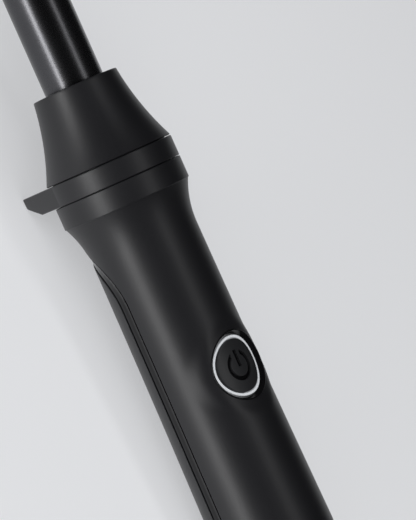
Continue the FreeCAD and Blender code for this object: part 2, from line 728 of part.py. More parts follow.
def make_nose_cone():
    foot = cell("ring_radius") - cell("nose_step")
    rim = rim_bore + cell("rim_lip")
    straight = rim_level - cell("rim_depth")
    cone = turned_body("nose_cone", [
        (foot - cell("nose_wall"), nose_level),
        (foot, nose_level),
        (rim, rim_level - cell("edge_break")),
        (rim - cell("edge_break"), rim_level),
        (rim_bore, rim_level),
        (rim_bore, straight),
        (foot - cell("nose_wall"), nose_level + cell("ring_lip")),
    ], {1: (-1, cell("nose_curve")), 5: (1, cell("nose_curve"))})
    finish(cone, "nose_cone")


# --- barrel ---------------------------------------------------------------------------------------

def make_barrel():
    radius = cell("barrel_radius")
    seat = radius - cell("seat_step")
    tube = turned_body("barrel_tube", [
        (barrel_bore, socket_level), (seat, socket_level), (seat, rim_level),
        (radius, rim_level), (radius, tip_level - cell("seam")),
        (barrel_bore, tip_level - cell("seam"))])
    finish(tube, "barrel_tube")

    outer = mount_outer
    inner = seat + cell("running_gap")
    guide = cell("ring_bore") - cell("slip_gap")
    flange_low = ring_level + cell("flange_low")
    flange_top = flange_low + cell("flange_height")
    mount = turned_body("barrel_mount", [
        (cell("wire_way"), floor_level),
        (outer, floor_level),
        (outer, flange_low),
        (guide, flange_low),
        (guide, flange_top),
        (outer, flange_top),
        (outer, socket_top),
        (inner, socket_top),
        (inner, socket_level),
        (cell("wire_way"), socket_level),
    ])
    for side, up in mount_spots():
        drill(mount, "XY_Plane", floor_level, side, up, cell("screw_shank"), cell("mount_pilot"))
    finish(mount, "barrel_mount")

    shank_sizes = (cell("screw_shank") - cell("running_gap"), cell("collar_web") + cell("mount_bite"))
    finish(grouped("mount_screws", [
        screw("mount_screw", (cell("head_radius"), cell("mount_head")), shank_sizes,
              spot_at(side, up, collar_level - cell("mount_head")), spot_at(side, up, collar_level))
        for side, up in mount_spots()]), "mount_screws")

    washer = turned_body("mica_washer", rectangle(
        inner, rim_bore - cell("slip_gap"), socket_top, socket_top + cell("washer_height")))
    finish(washer, "mica_washer")

    tip_radius = radius - cell("tip_step")
    tip_end = tip_level + cell("tip_length")
    plug = barrel_bore - cell("slip_gap")
    bore, stub = cell("insulator_bore"), cell("stub_radius")
    flange = tip_radius - cell("insulator_step")
    plug_end, barrel_end = tip_level - cell("insulator_depth"), tip_level - cell("seam")
    stub_top, hollow_top = tip_level + cell("stub_height"), tip_level + cell("tip_hollow")
    insulator = turned_body("tip_insulator", [
        (bore, plug_end), (plug, plug_end), (plug, barrel_end), (flange, barrel_end),
        (flange, tip_level), (stub, tip_level), (stub, stub_top), (bore, stub_top)])
    finish(insulator, "tip_insulator")
    hollow = stub + cell("slip_gap")
    cap = turned_body("tip_cap", [
        (hollow, tip_level),
        (tip_radius, tip_level),
        (tip_radius, tip_end - cell("tip_edge")),
        (tip_radius - cell("tip_edge"), tip_end),
        (0, tip_end),
        (0, hollow_top),
        (hollow, hollow_top),
    ], {2: (1, cell("tip_edge"))})
    finish(cap, "tip_cap")


def make_heater():
    thickness = cell("core_thickness")
    core = block("heater_core", rectangle(
        -(thickness / 2), thickness / 2, -(cell("core_width") / 2), cell("core_width") / 2),
        "XY_Plane", core_level, cell("core_length"))
    finish(core, "heater_core")

    outer = barrel_bore - cell("slip_gap")
    inner = outer - cell("spreader_wall")
    flat = thickness / 2 + cell("slip_gap") / 2
    hollow = flat + cell("spreader_wall")
    for label, turn in (("heat_spreader_front", 0), ("heat_spreader_rear", 180)):
        spreader = new_body(label)
        section = new_sketch(spreader, "XY_Plane", core_level - cell("spreader_lead"))
        for line, radius in ((flat, outer), (hollow, inner)):
            half = chord(radius, line)
            draw_outline(section, [(line, -half), (line, half)], {0: (1, radius)})
        pad(spreader, section, cell("spreader_length"))
        finish(spreader, label, Placement(Vector(), Rotation(Vector(0, 0, 1), turn)))

    bead_place = hollow + cell("bead_radius") + cell("bead_gap")
    bead = primitive("Cylinder", "thermistor",
                     {"Radius": cell("bead_radius"), "Height": cell("bead_length")},
                     spot_at(bead_place, 0, core_level + cell("bead_level")))
    finish(bead, "thermistor")
    fuse_side = cell("lead_spread") - cell("lead_radius") - cell("fuse_radius") - cell("slip_gap")
    fuse = primitive("Cylinder", "thermal_fuse",
                     {"Radius": cell("fuse_radius"), "Height": cell("fuse_length")},
                     spot_at(0, fuse_side, socket_level + cell("fuse_level")))
    finish(fuse, "thermal_fuse")


# --- leads ------------------------------------------------------------------------------------------

def lead(points, name):
    """A round wire along straight runs, joined by arcs as large as the runs allow."""
    points = [Vector(*(sized(part).value for part in point)) for point in points]
    edges = []
    start = points[0]
    for before, corner, after in zip(points, points[1:], points[2:]):
        back, ahead = before - corner, after - corner
        shorter = min(back.Length, ahead.Length)
        bisector = (back.normalize() + ahead.normalize()).normalize()
        trim = shorter * 0.45
        half_turn = math.pi / 2 - back.getAngle(ahead) / 2
        radius = trim / math.tan(half_turn)
        middle = corner + bisector * (math.hypot(radius, trim) - radius)
        entry, leave = corner + back * trim, corner + ahead * trim
        edges.append(Part.LineSegment(start, entry).toShape())
        edges.append(Part.Arc(entry, middle, leave).toShape())
        start = leave
    edges.append(Part.LineSegment(start, points[-1]).toShape())
    path = Part.Wire(edges)
    circle = Part.Circle(points[0], points[1] - points[0], cell("lead_radius").value)
    wire = path.makePipeShell([Part.Wire([circle.toShape()])], True, True)
    area = math.pi * cell("lead_radius").value ** 2
    if abs(wire.Volume - area * path.Length) > 0.02 * wire.Volume:
        raise RuntimeError("%s: the wire's volume doesn't match its length" % name)
    return wire


def make_leads():
    depth = board_back - cell("lead_radius") - cell("slip_gap")
    board_top = cell("board_base") + cell("board_length")
    spread = cell("lead_spread")
    heater_runs = [
        lead([(depth, side, board_top - 14), (depth, side, board_top + 9),
              (0, side, collar_level + 9), (0, side, core_level - cell("slip_gap"))], "heater_leads")
        for side in (spread, -spread)]
    heater_leads = doc.addObject("Part::Feature", "heater_leads")
    heater_leads.Shape = Part.makeCompound(heater_runs)
    finish(heater_leads, "heater_leads")

    holder_middle = holder_side + cell("holder_depth") / 2
    holder_top = cell("hub_top") + cell("slip_gap")
    supply_runs = [
        lead([(side, holder_middle, holder_top), (side, holder_middle, holder_top + 6),
              (depth, end, cell("board_base") + 1), (depth, end, cell("board_base") + 9)],
             "supply_leads")
        for side, end in ((2.2, 6.4), (-2.2, 2.4))]
    supply_leads = doc.addObject("Part::Feature", "supply_leads")
    supply_leads.Shape = Part.makeCompound(supply_runs)
    finish(supply_leads, "supply_leads")


# --- electronics --------------------------------------------------------------------------------------

def make_electronics():
    base = cell("board_base")
    half = cell("board_width") / 2
    inset = cell("post_inset")
    levels = (base + inset, base + cell("board_length") - inset)
    board = block("control_board", rectangle(-half, half, base, base + cell("board_length")),
                  "YZ_Plane", board_back, cell("board_thickness"))
    spread = cell("post_spread")
    for level in levels:
        for side in (spread, -spread):
            drill(board, "YZ_Plane", board_back, side, level,
                  cell("small_shank") + cell("slip_gap"), cell("board_pilot"))
    finish(board, "control_board")

    head_height = cell("small_head_height")
    shank_sizes = (cell("small_shank") - cell("running_gap"),
                   cell("board_thickness") + cell("small_bite"))
    finish(grouped("board_screws", [
        screw("board_screw", (cell("small_head"), head_height), shank_sizes,
              spot_at(board_back - head_height, side, level, facing_out),
              spot_at(board_back, side, level, facing_out))
        for level in levels for side in (spread, -spread)]), "board_screws")

    parts_level = base + cell("parts_level")
    can = cell("capacitor_radius")
    capacitor = primitive("Cylinder", "capacitor", {"Radius": can, "Height": cell("capacitor_length")},
                          spot_at(board_back - can, -cell("capacitor_side"), parts_level))
    finish(capacitor, "capacitor")
    depth = cell("triac_thickness")
    triac = primitive("Box", "triac", {
        "Length": depth, "Width": cell("triac_width"), "Height": cell("triac_length")},
        spot_at(board_back - depth, cell("triac_side"), parts_level))
    finish(triac, "triac")
    depth, width = cell("chip_thickness"), cell("chip_width")
    chip = primitive("Box", "controller_chip", {"Length": depth, "Width": width, "Height": width},
                     spot_at(board_back - depth, -(width / 2), base + cell("chip_level")))
    finish(chip, "controller_chip")


# --- power button -------------------------------------------------------------------------------------

def crown_cut(body, level, radius):
    """Trim a button piece to a face that is crowned about a line along the iron."""
    half = bezel_outer + tool_reach / 2
    low = level - radius + chord(radius, half)
    over = level + tool_reach
    sketch = new_sketch(body, "YZ_Plane")
    draw_outline(sketch, [(-half, low), (half, low), (half, over), (-half, over)],
                 {0: (-1, radius)})
    return pocket(body, sketch)


def make_bezel(spot):
    rim_level = bezel_face - board_face
    ledge = cell("sleeve_top") + cell("slip_gap")
    sleeve = glow_outer + cell("sleeve_width") + cell("slip_gap")
    top = rim_level + cell("slip_gap")
    bezel = turned_body("button_bezel", [
        (sleeve, 0), (bezel_outer, 0), (bezel_outer, top), (bezel_lip, top),
        (bezel_lip, ledge), (sleeve, ledge)])
    crowned = crown_cut(bezel, rim_level, cell("bezel_crown"))
    doc.recompute()
    rim = ["Edge%d" % number for number, edge in enumerate(crowned.Shape.Edges, start=1)
           if is_bezel_rim(edge)]
    dish = bezel.newObject("PartDesign::Chamfer", "button_bezel_dish")
    dish.Base = (crowned, rim)
    dish.ChamferType = "Two distances"
    for prop, size in (("Size", cell("dish_width")), ("Size2", cell("dish_depth"))):
        setattr(dish, prop, size.value)
        dish.setExpression(prop, size.text)
    finish(bezel, "button_bezel", spot)


def is_bezel_rim(edge):
    """True for the upper edge of the bezel's bore."""
    spots = edge.discretize(8)
    bore = all(abs(math.hypot(spot.x, spot.y) - bezel_lip.value) < 0.01 for spot in spots)
    crowned = max(spot.z for spot in spots) - min(spot.z for spot in spots) > 1
    return bore and crowned


def make_button():
    spot = spot_at(board_face, 0, cell("button_height"), facing_out)
    make_bezel(spot)

    travel = cell("button_travel")
    radius = cell("button_radius")
    level = cell("stack_height")
    top = level + cell("slip_gap")
    sleeve = glow_outer + cell("sleeve_width")
    step, sleeve_top = cell("glow_step"), cell("sleeve_top")
    guide = sleeve - cell("guide_wall")
    ring_foot = cell("ring_foot")
    ring = turned_body("light_ring", [
        (guide, ring_foot), (sleeve, ring_foot), (sleeve, sleeve_top), (glow_outer, sleeve_top),
        (glow_outer, top), (glow_inner, top), (glow_inner, step), (guide, step)])
    crown_cut(ring, level, cell("button_crown"))
    finish(ring, "light_ring", spot)

    plunger_top, stem, roof = cell("plunger_top"), cell("stem_radius"), cell("cap_roof")
    brim_top = step - cell("brim_gap")
    brim_low = brim_top - cell("brim_height")
    brim = guide - cell("guide_gap")
    skirt = radius - cell("cap_wall")
    cap = turned_body("button_cap", [
        (0, plunger_top), (stem, plunger_top), (stem, roof), (skirt, roof), (skirt, brim_low),
        (brim, brim_low), (brim, brim_top), (radius, brim_top), (radius, top), (0, top)])
    crown_cut(cap, level, cell("button_crown"))
    finish(boolean("Cut", "power_button", cap, power_symbol()), "power_button", spot)

    can, floor_top = cell("switch_radius"), cell("switch_floor")
    housing = turned_body("tact_switch_can", rectangle(cell("switch_bore"), can, 0, can))
    floor = turned_body("tact_switch_floor", rectangle(0, can, 0, floor_top))
    finish(boolean("Fuse", "tact_switch", housing, floor), "tact_switch", spot)
    plunger = turned_body("switch_plunger", rectangle(
        0, cell("plunger_radius"), cell("plunger_room") + travel, plunger_top))
    finish(plunger, "switch_plunger", spot)

    width = cell("lamp_width")
    spread = (sleeve - cell("lamp_inset")) * math.sqrt(0.5)
    low = {side: spread * side - width / 2 for side in (1, -1)}
    finish(grouped("indicator_leds", [
        primitive("Box", "indicator_led",
                  {"Length": width, "Width": width, "Height": cell("lamp_height")},
                  spot_at(low[side], low[up], 0))
        for side, up in ((1, 1), (-1, 1), (-1, -1), (1, -1))]), "indicator_leds", spot)


def power_symbol():
    """The plain on/off sign, sunk into the button's face: a broken circle and a bar."""
    middle, stroke, gap_width = cell("sign_radius"), cell("sign_stroke"), cell("sign_gap")
    bottom = cell("stack_height") - cell("sign_depth")
    ring = turned_body("symbol_ring", rectangle(
        middle - stroke / 2, middle + stroke / 2, bottom, bottom + tool_reach))
    gap = primitive("Box", "symbol_gap",
                    {"Length": middle * 2, "Width": gap_width, "Height": tool_reach * 2},
                    spot_at(-(middle * 2), -(gap_width / 2), bottom - tool_reach))
    bar = primitive("Box", "symbol_bar",
                    {"Length": cell("sign_bar"), "Width": stroke, "Height": tool_reach},
                    spot_at(-cell("sign_bar_end"), -(stroke / 2), bottom))
    return boolean("Fuse", "power_symbol", boolean("Cut", "symbol_arc", ring, gap), bar)


# --- tail and swivel -------------------------------------------------------------------------------

def make_tail():
    spigot = shell_bore - cell("slip_gap")
    spigot_top = cell("tail_height") + cell("tail_spigot")
    bearing = cell("gland_radius") + cell("running_gap")
    neck = bearing + cell("neck_wall")
    cap = turned_body("tail_cap", [
        (bearing, 0),
        (tail_radius - cell("tail_edge"), 0),
        (tail_radius, cell("tail_edge")),
        (tail_radius, cell("tail_height")),
        (spigot, cell("tail_height")),
        (spigot, spigot_top),
        (spigot - cell("tail_spigot_wall"), spigot_top),
        (spigot - cell("tail_spigot_wall"), cell("tail_floor")),
        (neck, cell("tail_floor")),
        (neck, cell("neck_height")),
        (bearing, cell("neck_height")),
    ], {1: (1, cell("tail_edge"))})
    finish(cap, "tail_cap")

    shaft = cell("gland_radius")
    brim = shaft + cell("gland_brim")
    groove = cell("neck_height") + cell("slip_gap")
    groove_top = groove + cell("groove_width")
    shoulder = groove_top + cell("groove_shoulder")
    groove_radius = shaft - cell("groove_depth")
    nose, rounding = cell("gland_nose"), cell("nose_rounding")
    gland = turned_body("swivel_gland", [
        (cell("cord_bore"), -nose),
        (brim - rounding, -nose),
        (brim, rounding - nose),
        (brim, -cell("slip_gap")),
        (shaft, -cell("slip_gap")),
        (shaft, groove),
        (groove_radius, groove),
        (groove_radius, groove_top),
        (shaft, groove_top),
        (shaft, shoulder),
        (cell("hub_radius"), shoulder),
        (cell("hub_radius"), cell("hub_top")),
        (cell("cord_bore"), cell("hub_top")),
    ], {1: (1, rounding)})
    finish(gland, "swivel_gland")
    play = cell("retainer_gap")
    retainer = turned_body("swivel_retainer", rectangle(
        groove_radius + play, neck - cell("retainer_inset"), groove + play, groove_top - play))
    finish(retainer, "swivel_retainer")

    ring_levels = (cell("slip_ring_low"), cell("slip_ring_low") + cell("slip_ring_pitch"))
    hub_bore = cell("hub_radius") + cell("hub_gap")
    rings = []
    for low in ring_levels:
        outer = primitive("Cylinder", "slip_ring_disc",
                          {"Radius": cell("slip_ring_radius"), "Height": cell("slip_ring_width")},
                          spot_at(0, 0, low))
        inner = primitive("Cylinder", "slip_ring_hole",
                          {"Radius": hub_bore, "Height": cell("hub_top")})
        rings.append(boolean("Cut", "slip_ring", outer, inner))
    finish(grouped("slip_rings", rings), "slip_rings")

    half = cell("holder_width") / 2
    holder = block("brush_holder",
                   rectangle(-half, half, holder_side, holder_side + cell("holder_depth")),
                   "XY_Plane", cell("tail_floor"), cell("hub_top") - cell("tail_floor"))
    finish(holder, "brush_holder")
    start = cell("slip_ring_radius") + cell("running_gap")
    inset, width = cell("brush_inset"), cell("brush_width")
    finish(grouped("brush_contacts", [
        primitive("Box", "brush_contact",
                  {"Length": width, "Width": holder_side - start,
                   "Height": cell("slip_ring_width") - inset * 2},
                  spot_at(-(width / 2), start, low + inset))
        for low in ring_levels]), "brush_contacts")


def build():
    make_front_shell()
    make_rear_cover()
    make_side_trim()
    make_cover_screws()
    make_collar_base()
    make_stand_ring()
    make_nose_cone()
    make_barrel()
    make_heater()
    make_leads()
    make_electronics()
    make_button()
    make_tail()


def check():
    """Stop before anything is written if a feature failed or a sub-part isn't sound."""
    doc.recompute()
    for thing in doc.Objects:
        if "Invalid" in thing.State or "Error" in thing.State:
            raise RuntimeError("%s (%s) failed" % (thing.Name, thing.Label))
    for piece, spot in pieces:
        if piece.Shape.isNull() or not piece.Shape.isValid() or not piece.Shape.Solids:
            raise RuntimeError("%s isn't a sound solid" % piece.Label)


build()
check()
for piece, spot in pieces:
    piece.Placement = spot
doc.recompute()
check()
os.makedirs("parts", exist_ok=True)
for piece, spot in pieces:
    piece.Shape.exportStep("parts/%s.step" % piece.Label)
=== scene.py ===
"""The looks of a clampless curling iron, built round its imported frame.

Every piece is modelled upright, in the iron's own axes, and then laid down into the frame: +Z runs
from the tail to the barrel's tip, +X faces the power button and -X the stand foot.  Lengths are in
metres.
"""

import json
import logging
import math
from contextlib import contextmanager
from dataclasses import dataclass, field
from enum import Enum
from typing import Callable, Iterable, Iterator, Optional, Sequence

import bpy
from mathutils import Matrix, Vector


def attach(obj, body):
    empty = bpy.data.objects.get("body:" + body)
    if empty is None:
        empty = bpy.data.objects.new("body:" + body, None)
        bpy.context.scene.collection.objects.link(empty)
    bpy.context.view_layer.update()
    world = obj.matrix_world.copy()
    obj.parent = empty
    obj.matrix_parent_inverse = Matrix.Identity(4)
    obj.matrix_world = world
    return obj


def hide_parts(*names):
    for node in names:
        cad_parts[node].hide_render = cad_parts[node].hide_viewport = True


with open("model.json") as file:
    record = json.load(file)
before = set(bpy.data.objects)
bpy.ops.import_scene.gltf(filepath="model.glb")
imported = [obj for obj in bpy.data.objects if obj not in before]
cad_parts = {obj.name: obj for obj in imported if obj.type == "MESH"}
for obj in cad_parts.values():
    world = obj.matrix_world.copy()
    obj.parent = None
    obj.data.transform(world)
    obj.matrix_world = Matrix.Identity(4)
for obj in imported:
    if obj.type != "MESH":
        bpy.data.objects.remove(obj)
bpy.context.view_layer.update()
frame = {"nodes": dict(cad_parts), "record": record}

MM = 0.001
Spot = tuple[float, float]
log = logging.getLogger("curling_iron")


# --- sizes


@dataclass(frozen=True)
class Layout:
    """The levels and radii that several pieces share, measured from the tail along the axis."""

    handle_length: float = 168.0 * MM
    collar_height: float = 9.3 * MM
    ring_height: float = 8.7 * MM
    nose_length: float = 33.2 * MM
    barrel_shown: float = 119.0 * MM
    tip_length: float = 21.0 * MM
    seam: float = 0.25 * MM
    ring_radius: float = 27.2 * MM
    barrel_radius: float = 12.5 * MM
    waist_radius: float = 22.7 * MM
    swell: float = 1.65 * MM
    grip_swell: float = 0.5 * MM
    grip_height: float = 90.0 * MM
    tail_taper: float = 1.1 * MM
    tail_curve: float = 60.0 * MM
    tail_height: float = 9.0 * MM
    swell_height: float = 18.0 * MM
    flare_length: float = 18.0 * MM
    flare_curve: float = 41.6 * MM
    button_height: float = 91.5 * MM
    button_sink: float = 1.5 * MM
    button_crown: float = 27.0 * MM
    bezel_rise: float = 0.05 * MM
    bezel_crown: float = 34.0 * MM
    bezel_radius: float = 14.4 * MM
    grip_bend: float = 1.35
    swell_bend: float = 1.15
    screw_seat: float = 21.2 * MM
    low_screw: float = 38.0 * MM
    high_screw: float = 24.5 * MM

    @property
    def shell_level(self) -> float:
        """The shells' lower edge."""
        return self.tail_height + self.seam

    @property
    def screw_levels(self) -> tuple[float, float]:
        """The rear cover's two screws."""
        return self.low_screw, self.handle_length - self.high_screw

    @property
    def ring_level(self) -> float:
        """The stand ring's underside."""
        return self.handle_length + self.collar_height + self.seam

    @property
    def nose_level(self) -> float:
        """The nose cone's foot."""
        return self.ring_level + self.ring_height + self.seam

    @property
    def rim_level(self) -> float:
        """The nose cone's rim."""
        return self.nose_level + self.nose_length

    @property
    def tip_level(self) -> float:
        """The cool tip's foot."""
        return self.rim_level + self.barrel_shown

    @property
    def tail_radius(self) -> float:
        """The tail cap's radius."""
        return self.waist_radius + self.swell - self.tail_taper

    @property
    def button_face(self) -> float:
        """The crown of the power button's face."""
        return self.waist_radius - self.button_sink

    @property
    def bezel_face(self) -> float:
        """The crown of the bezel's rim."""
        return self.waist_radius + self.bezel_rise

    def grip_radius(self, level: float) -> float:
        """The handle's outside radius.

        Args:
            level: The height above the tail.

        Returns:
            The radius there.
        """
        flare_level = self.handle_length - self.flare_length
        if level > flare_level:
            rise = level - flare_level
            return self.waist_radius + self.flare_curve - math.sqrt(self.flare_curve**2 - rise**2)
        widest = self.waist_radius + self.swell
        middle = self.waist_radius + self.grip_swell
        if level > self.grip_height:
            share = (flare_level - level) / (flare_level - self.grip_height)
            return self.waist_radius + self.grip_swell * share**self.grip_bend
        if level > self.swell_height:
            share = (self.grip_height - level) / (self.grip_height - self.swell_height)
            return middle + (widest - middle) * share**self.swell_bend
        rise = self.swell_height - self.shell_level
        half = math.hypot(rise, self.tail_taper) / 2
        reach = math.sqrt(self.tail_curve**2 - half**2) / (half * 2)
        centre_radius = widest - self.tail_taper / 2 - rise * reach
        centre_level = self.swell_height - rise / 2 + self.tail_taper * reach
        return centre_radius + math.sqrt(self.tail_curve**2 - (level - centre_level) ** 2)


LAYOUT = Layout()


def iron_axes() -> Matrix:
    """The transform from the iron's own upright axes to the frame, read from the barrel's mount.

    Returns:
        The transform.
    """
    barrel = [mount for mount in frame["record"]["mounts"] if mount["name"] == "barrel"][0]
    along = Vector(barrel["axis"]).normalized()
    across = Vector((0.0, -1.0, 0.0))
    facing = across.cross(along).normalized()
    length = barrel["dims"]["length_mm"] * MM
    tail = Vector(barrel["pos_m"]) - along * (LAYOUT.rim_level + length / 2)
    turn = Matrix((facing, across, along)).transposed().to_4x4()
    return Matrix.Translation(tail) @ turn


AXES = iron_axes()


# --- finishes


Inputs = dict[str | int, object]


class Wiring:
    """Adds nodes to a material and joins them up."""

    def __init__(self, material: bpy.types.Material) -> None:
        """The wiring of one material, which starts with its plain shader.

        Args:
            material: The material.
        """
        material.use_nodes = True
        self._tree = material.node_tree
        self.shader = self._tree.nodes["Principled BSDF"]

    def set(self, node: bpy.types.Node, inputs: Inputs) -> None:
        """Give a node's inputs their values or their links.

        Args:
            node: The node.
            inputs: For each input its value, or the socket that leads to it.
        """
        for name, value in inputs.items():
            if isinstance(value, bpy.types.NodeSocket):
                self._tree.links.new(value, node.inputs[name])
            else:
                node.inputs[name].default_value = value

    def add(self, kind: str, inputs: Inputs, output: str | int = 0,
            **settings: str) -> bpy.types.NodeSocket:
        """Add a node.

        Args:
            kind: Its type.
            inputs: For each input its value, or the socket that leads to it.
            output: The output that is wanted.
            **settings: Its own settings.

        Returns:
            The output's socket.
        """
        node = self._tree.nodes.new(f"ShaderNode{kind}")
        for setting, value in settings.items():
            setattr(node, setting, value)
        self.set(node, inputs)
        return node.outputs[output]


@dataclass(frozen=True)
class Finish:
    """A surface finish: its colour and gloss, and the grain that breaks both up."""

    name: str
    colour: tuple[float, float, float]
    roughness: float = 0.5
    metallic: float = 0.0
    coat: float = 0.0
    coat_roughness: float = 0.05
    shine: float = 0.5
    glow: float = 0.0
    mottle: float = 0.12
    grain: float = 0.25 * MM
    blotch: float = 22 * MM
    grain_share: float = 0.65
    relief: float = 0.01 * MM
    unevenness: float = 0.06

    def material(self) -> bpy.types.Material:
        """The finish as a procedural material, made once.

        Returns:
            The material.
        """
        title = f"{self.name}_finish"
        known = bpy.data.materials.get(title)
        if known is not None:
            return known
        material = bpy.data.materials.new(title)
        wiring = Wiring(material)
        place = wiring.add("TexCoord", {}, "Object")
        fine, broad = (
            wiring.add("TexNoise", {"Vector": place, "Scale": 1.0 / size, "Detail": detail}, "Fac")
            for size, detail in ((self.grain, 3.0), (self.blotch, 2.0)))
        faint = wiring.add("Math", {0: broad, 1: 1 - self.grain_share}, operation="MULTIPLY")
        mixed = wiring.add("Math", {0: fine, 1: self.grain_share, 2: faint},
                           operation="MULTIPLY_ADD")
        dark, light = ([channel * (1 + change) for channel in self.colour]
                       for change in (-self.mottle, self.mottle))
        wiring.set(wiring.shader, {
            "Metallic": self.metallic,
            "Coat Weight": self.coat,
            "Coat Roughness": self.coat_roughness,
            "Specular IOR Level": self.shine,
            "Base Color": wiring.add("Mix", {
                "Factor": mixed, "A": (*dark, 1.0), "B": (*light, 1.0),
            }, "Result", data_type="RGBA"),
            "Roughness": wiring.add("MapRange", {
                "Value": mixed,
                "To Min": max(self.roughness - self.unevenness, 0.02),
                "To Max": min(self.roughness + self.unevenness, 1.0),
            }, "Result"),
            "Normal": wiring.add("Bump", {"Height": fine, "Distance": self.relief}, "Normal"),
        })
        if self.glow > 0:
            wiring.set(wiring.shader, {"Emission Color": (*self.colour, 1.0),
                                       "Emission Strength": self.glow})
        return material


class Look(Enum):
    """The finishes of this iron."""

    SOFT_TOUCH = Finish("soft_touch_black", (0.008, 0.008, 0.0095), 0.42, shine=0.5,
                        mottle=0.22, grain=0.32 * MM, relief=0.012 * MM)
    PIANO = Finish("piano_black", (0.004, 0.004, 0.0045), 0.12, shine=0.25, mottle=0.05,
                   grain=2.0 * MM, relief=0.0005 * MM, unevenness=0.02)
    BARREL = Finish("barrel_coating", (0.085, 0.085, 0.09), 0.27, metallic=1.0, mottle=0.2,
                    grain=0.28 * MM, relief=0.008 * MM)
    BUTTON = Finish("button_grey", (0.018, 0.0185, 0.020), 0.42, mottle=0.15,
                    grain=0.3 * MM, relief=0.008 * MM)
    GLOW = Finish("light_guide", (0.70, 0.72, 0.75), 0.35, glow=0.3, mottle=0.01)
    TIP = Finish("tip_black", (0.02, 0.02, 0.021), 0.5, mottle=0.2, grain=0.4 * MM)
    HEATPROOF = Finish("heatproof_grey", (0.10, 0.097, 0.09), 0.65, mottle=0.25, grain=0.6 * MM)
    MICA = Finish("mica", (0.52, 0.44, 0.30), 0.35, mottle=0.3, grain=1.2 * MM)
    CERAMIC = Finish("ceramic_white", (0.78, 0.75, 0.69), 0.6, mottle=0.08, grain=0.8 * MM)
    ALUMINIUM = Finish("bare_aluminium", (0.72, 0.72, 0.73), 0.38, metallic=1.0, mottle=0.08)
    GLASS_BEAD = Finish("glass_bead", (0.35, 0.16, 0.05), 0.12, coat=0.6, mottle=0.1)
    STEEL = Finish("steel", (0.58, 0.58, 0.59), 0.32, metallic=1.0, mottle=0.1, grain=0.5 * MM)
    FUSE_CASE = Finish("fuse_case", (0.66, 0.66, 0.67), 0.28, metallic=1.0, mottle=0.06)
    SLEEVE = Finish("lead_sleeve", (0.68, 0.64, 0.56), 0.7, mottle=0.18, grain=0.4 * MM)
    BOARD = Finish("board_green", (0.02, 0.12, 0.055), 0.3, coat=0.4, mottle=0.25, grain=2.5 * MM)
    COMPONENT = Finish("component_black", (0.018, 0.018, 0.019), 0.5, mottle=0.2)
    CAPACITOR = Finish("capacitor_sleeve", (0.03, 0.04, 0.10), 0.3, coat=0.3, mottle=0.1)
    LAMP = Finish("led_white", (0.9, 0.88, 0.75), 0.3, glow=0.6, mottle=0.05)
    GLAND = Finish("gland_black", (0.022, 0.022, 0.023), 0.5, mottle=0.2, grain=0.4 * MM)
    BRASS = Finish("slip_brass", (0.75, 0.55, 0.24), 0.25, metallic=1.0, mottle=0.1)
    BRONZE = Finish("brush_bronze", (0.55, 0.36, 0.18), 0.3, metallic=1.0, mottle=0.12)

    @property
    def material(self) -> bpy.types.Material:
        """The look's material."""
        return self.value.material()


# --- modelling moves


class Outline:
    """The corners of a flat outline, each with its own rounding, as a list of points."""

    def __init__(self) -> None:
        """An outline with no corners yet."""
        self._corners: list[tuple[Vector, float]] = []

    def run(self, *corners: tuple[float, ...]) -> "Outline":
        """Add corners.

        Args:
            *corners: For each its place across, such as a distance from the axis, its place up,
                such as a level, and the radius of its arc if it isn't sharp.

        Returns:
            The outline.
        """
        for across, up, *rounding in corners:
            self._corners.append((Vector((across, up)), rounding[0] if rounding else 0.0))
        return self

    def bow(self, across: float, up: float, radius: float, steps: int = 24) -> "Outline":
        """Add an arc from the last corner to a new one.

        Args:
            across: The new corner's place across.
            up: The new corner's place up.
            radius: The arc's radius: positive bends it to the left of the way it runs.
            steps: The number of straight stretches in it.

        Returns:
            The outline.
        """
        start, end = self._corners[-1][0], Vector((across, up))
        run = end - start
        left = Vector((-run.y, run.x)).normalized()
        reach = math.sqrt(radius**2 - (run.length / 2) ** 2)
        centre = (start + end) / 2 + left * math.copysign(reach, radius)
        first = math.atan2(start.y - centre.y, start.x - centre.x)
        last = math.atan2(end.y - centre.y, end.x - centre.x)
        sweep = (last - first + math.pi) % math.tau - math.pi
        for step in range(1, steps + 1):
            angle = first + sweep * step / steps
            spot = centre + Vector((math.cos(angle), math.sin(angle))) * abs(radius)
            self._corners.append((spot, 0.0))
        return self

    def points(self, closed: bool = True, steps: int = 5) -> list[Spot]:
        """The outline's points, with its corners rounded.

        Args:
            closed: Whether the last corner joins the first.
            steps: The number of straight stretches in each rounding.

        Returns:
            The points in order.
        """
        found: list[Spot] = []
        count = len(self._corners)
        for number, (corner, rounding) in enumerate(self._corners):
            inner = closed or 0 < number < count - 1
            if rounding <= 0 or not inner:
                found.append((corner.x, corner.y))
                continue
            before = (self._corners[number - 1][0] - corner).normalized()
            after = (self._corners[(number + 1) % count][0] - corner).normalized()
            half = before.angle(after) / 2
            trim = rounding / math.tan(half)
            middle = corner + (before + after).normalized() * (rounding / math.sin(half))
            first, last = corner + before * trim - middle, corner + after * trim - middle
            start = math.atan2(first.y, first.x)
            sweep = (math.atan2(last.y, last.x) - start + math.pi) % math.tau - math.pi
            for step in range(steps + 1):
                angle = start + sweep * step / steps
                found.append((middle.x + math.cos(angle) * rounding,
                              middle.y + math.sin(angle) * rounding))
        return found


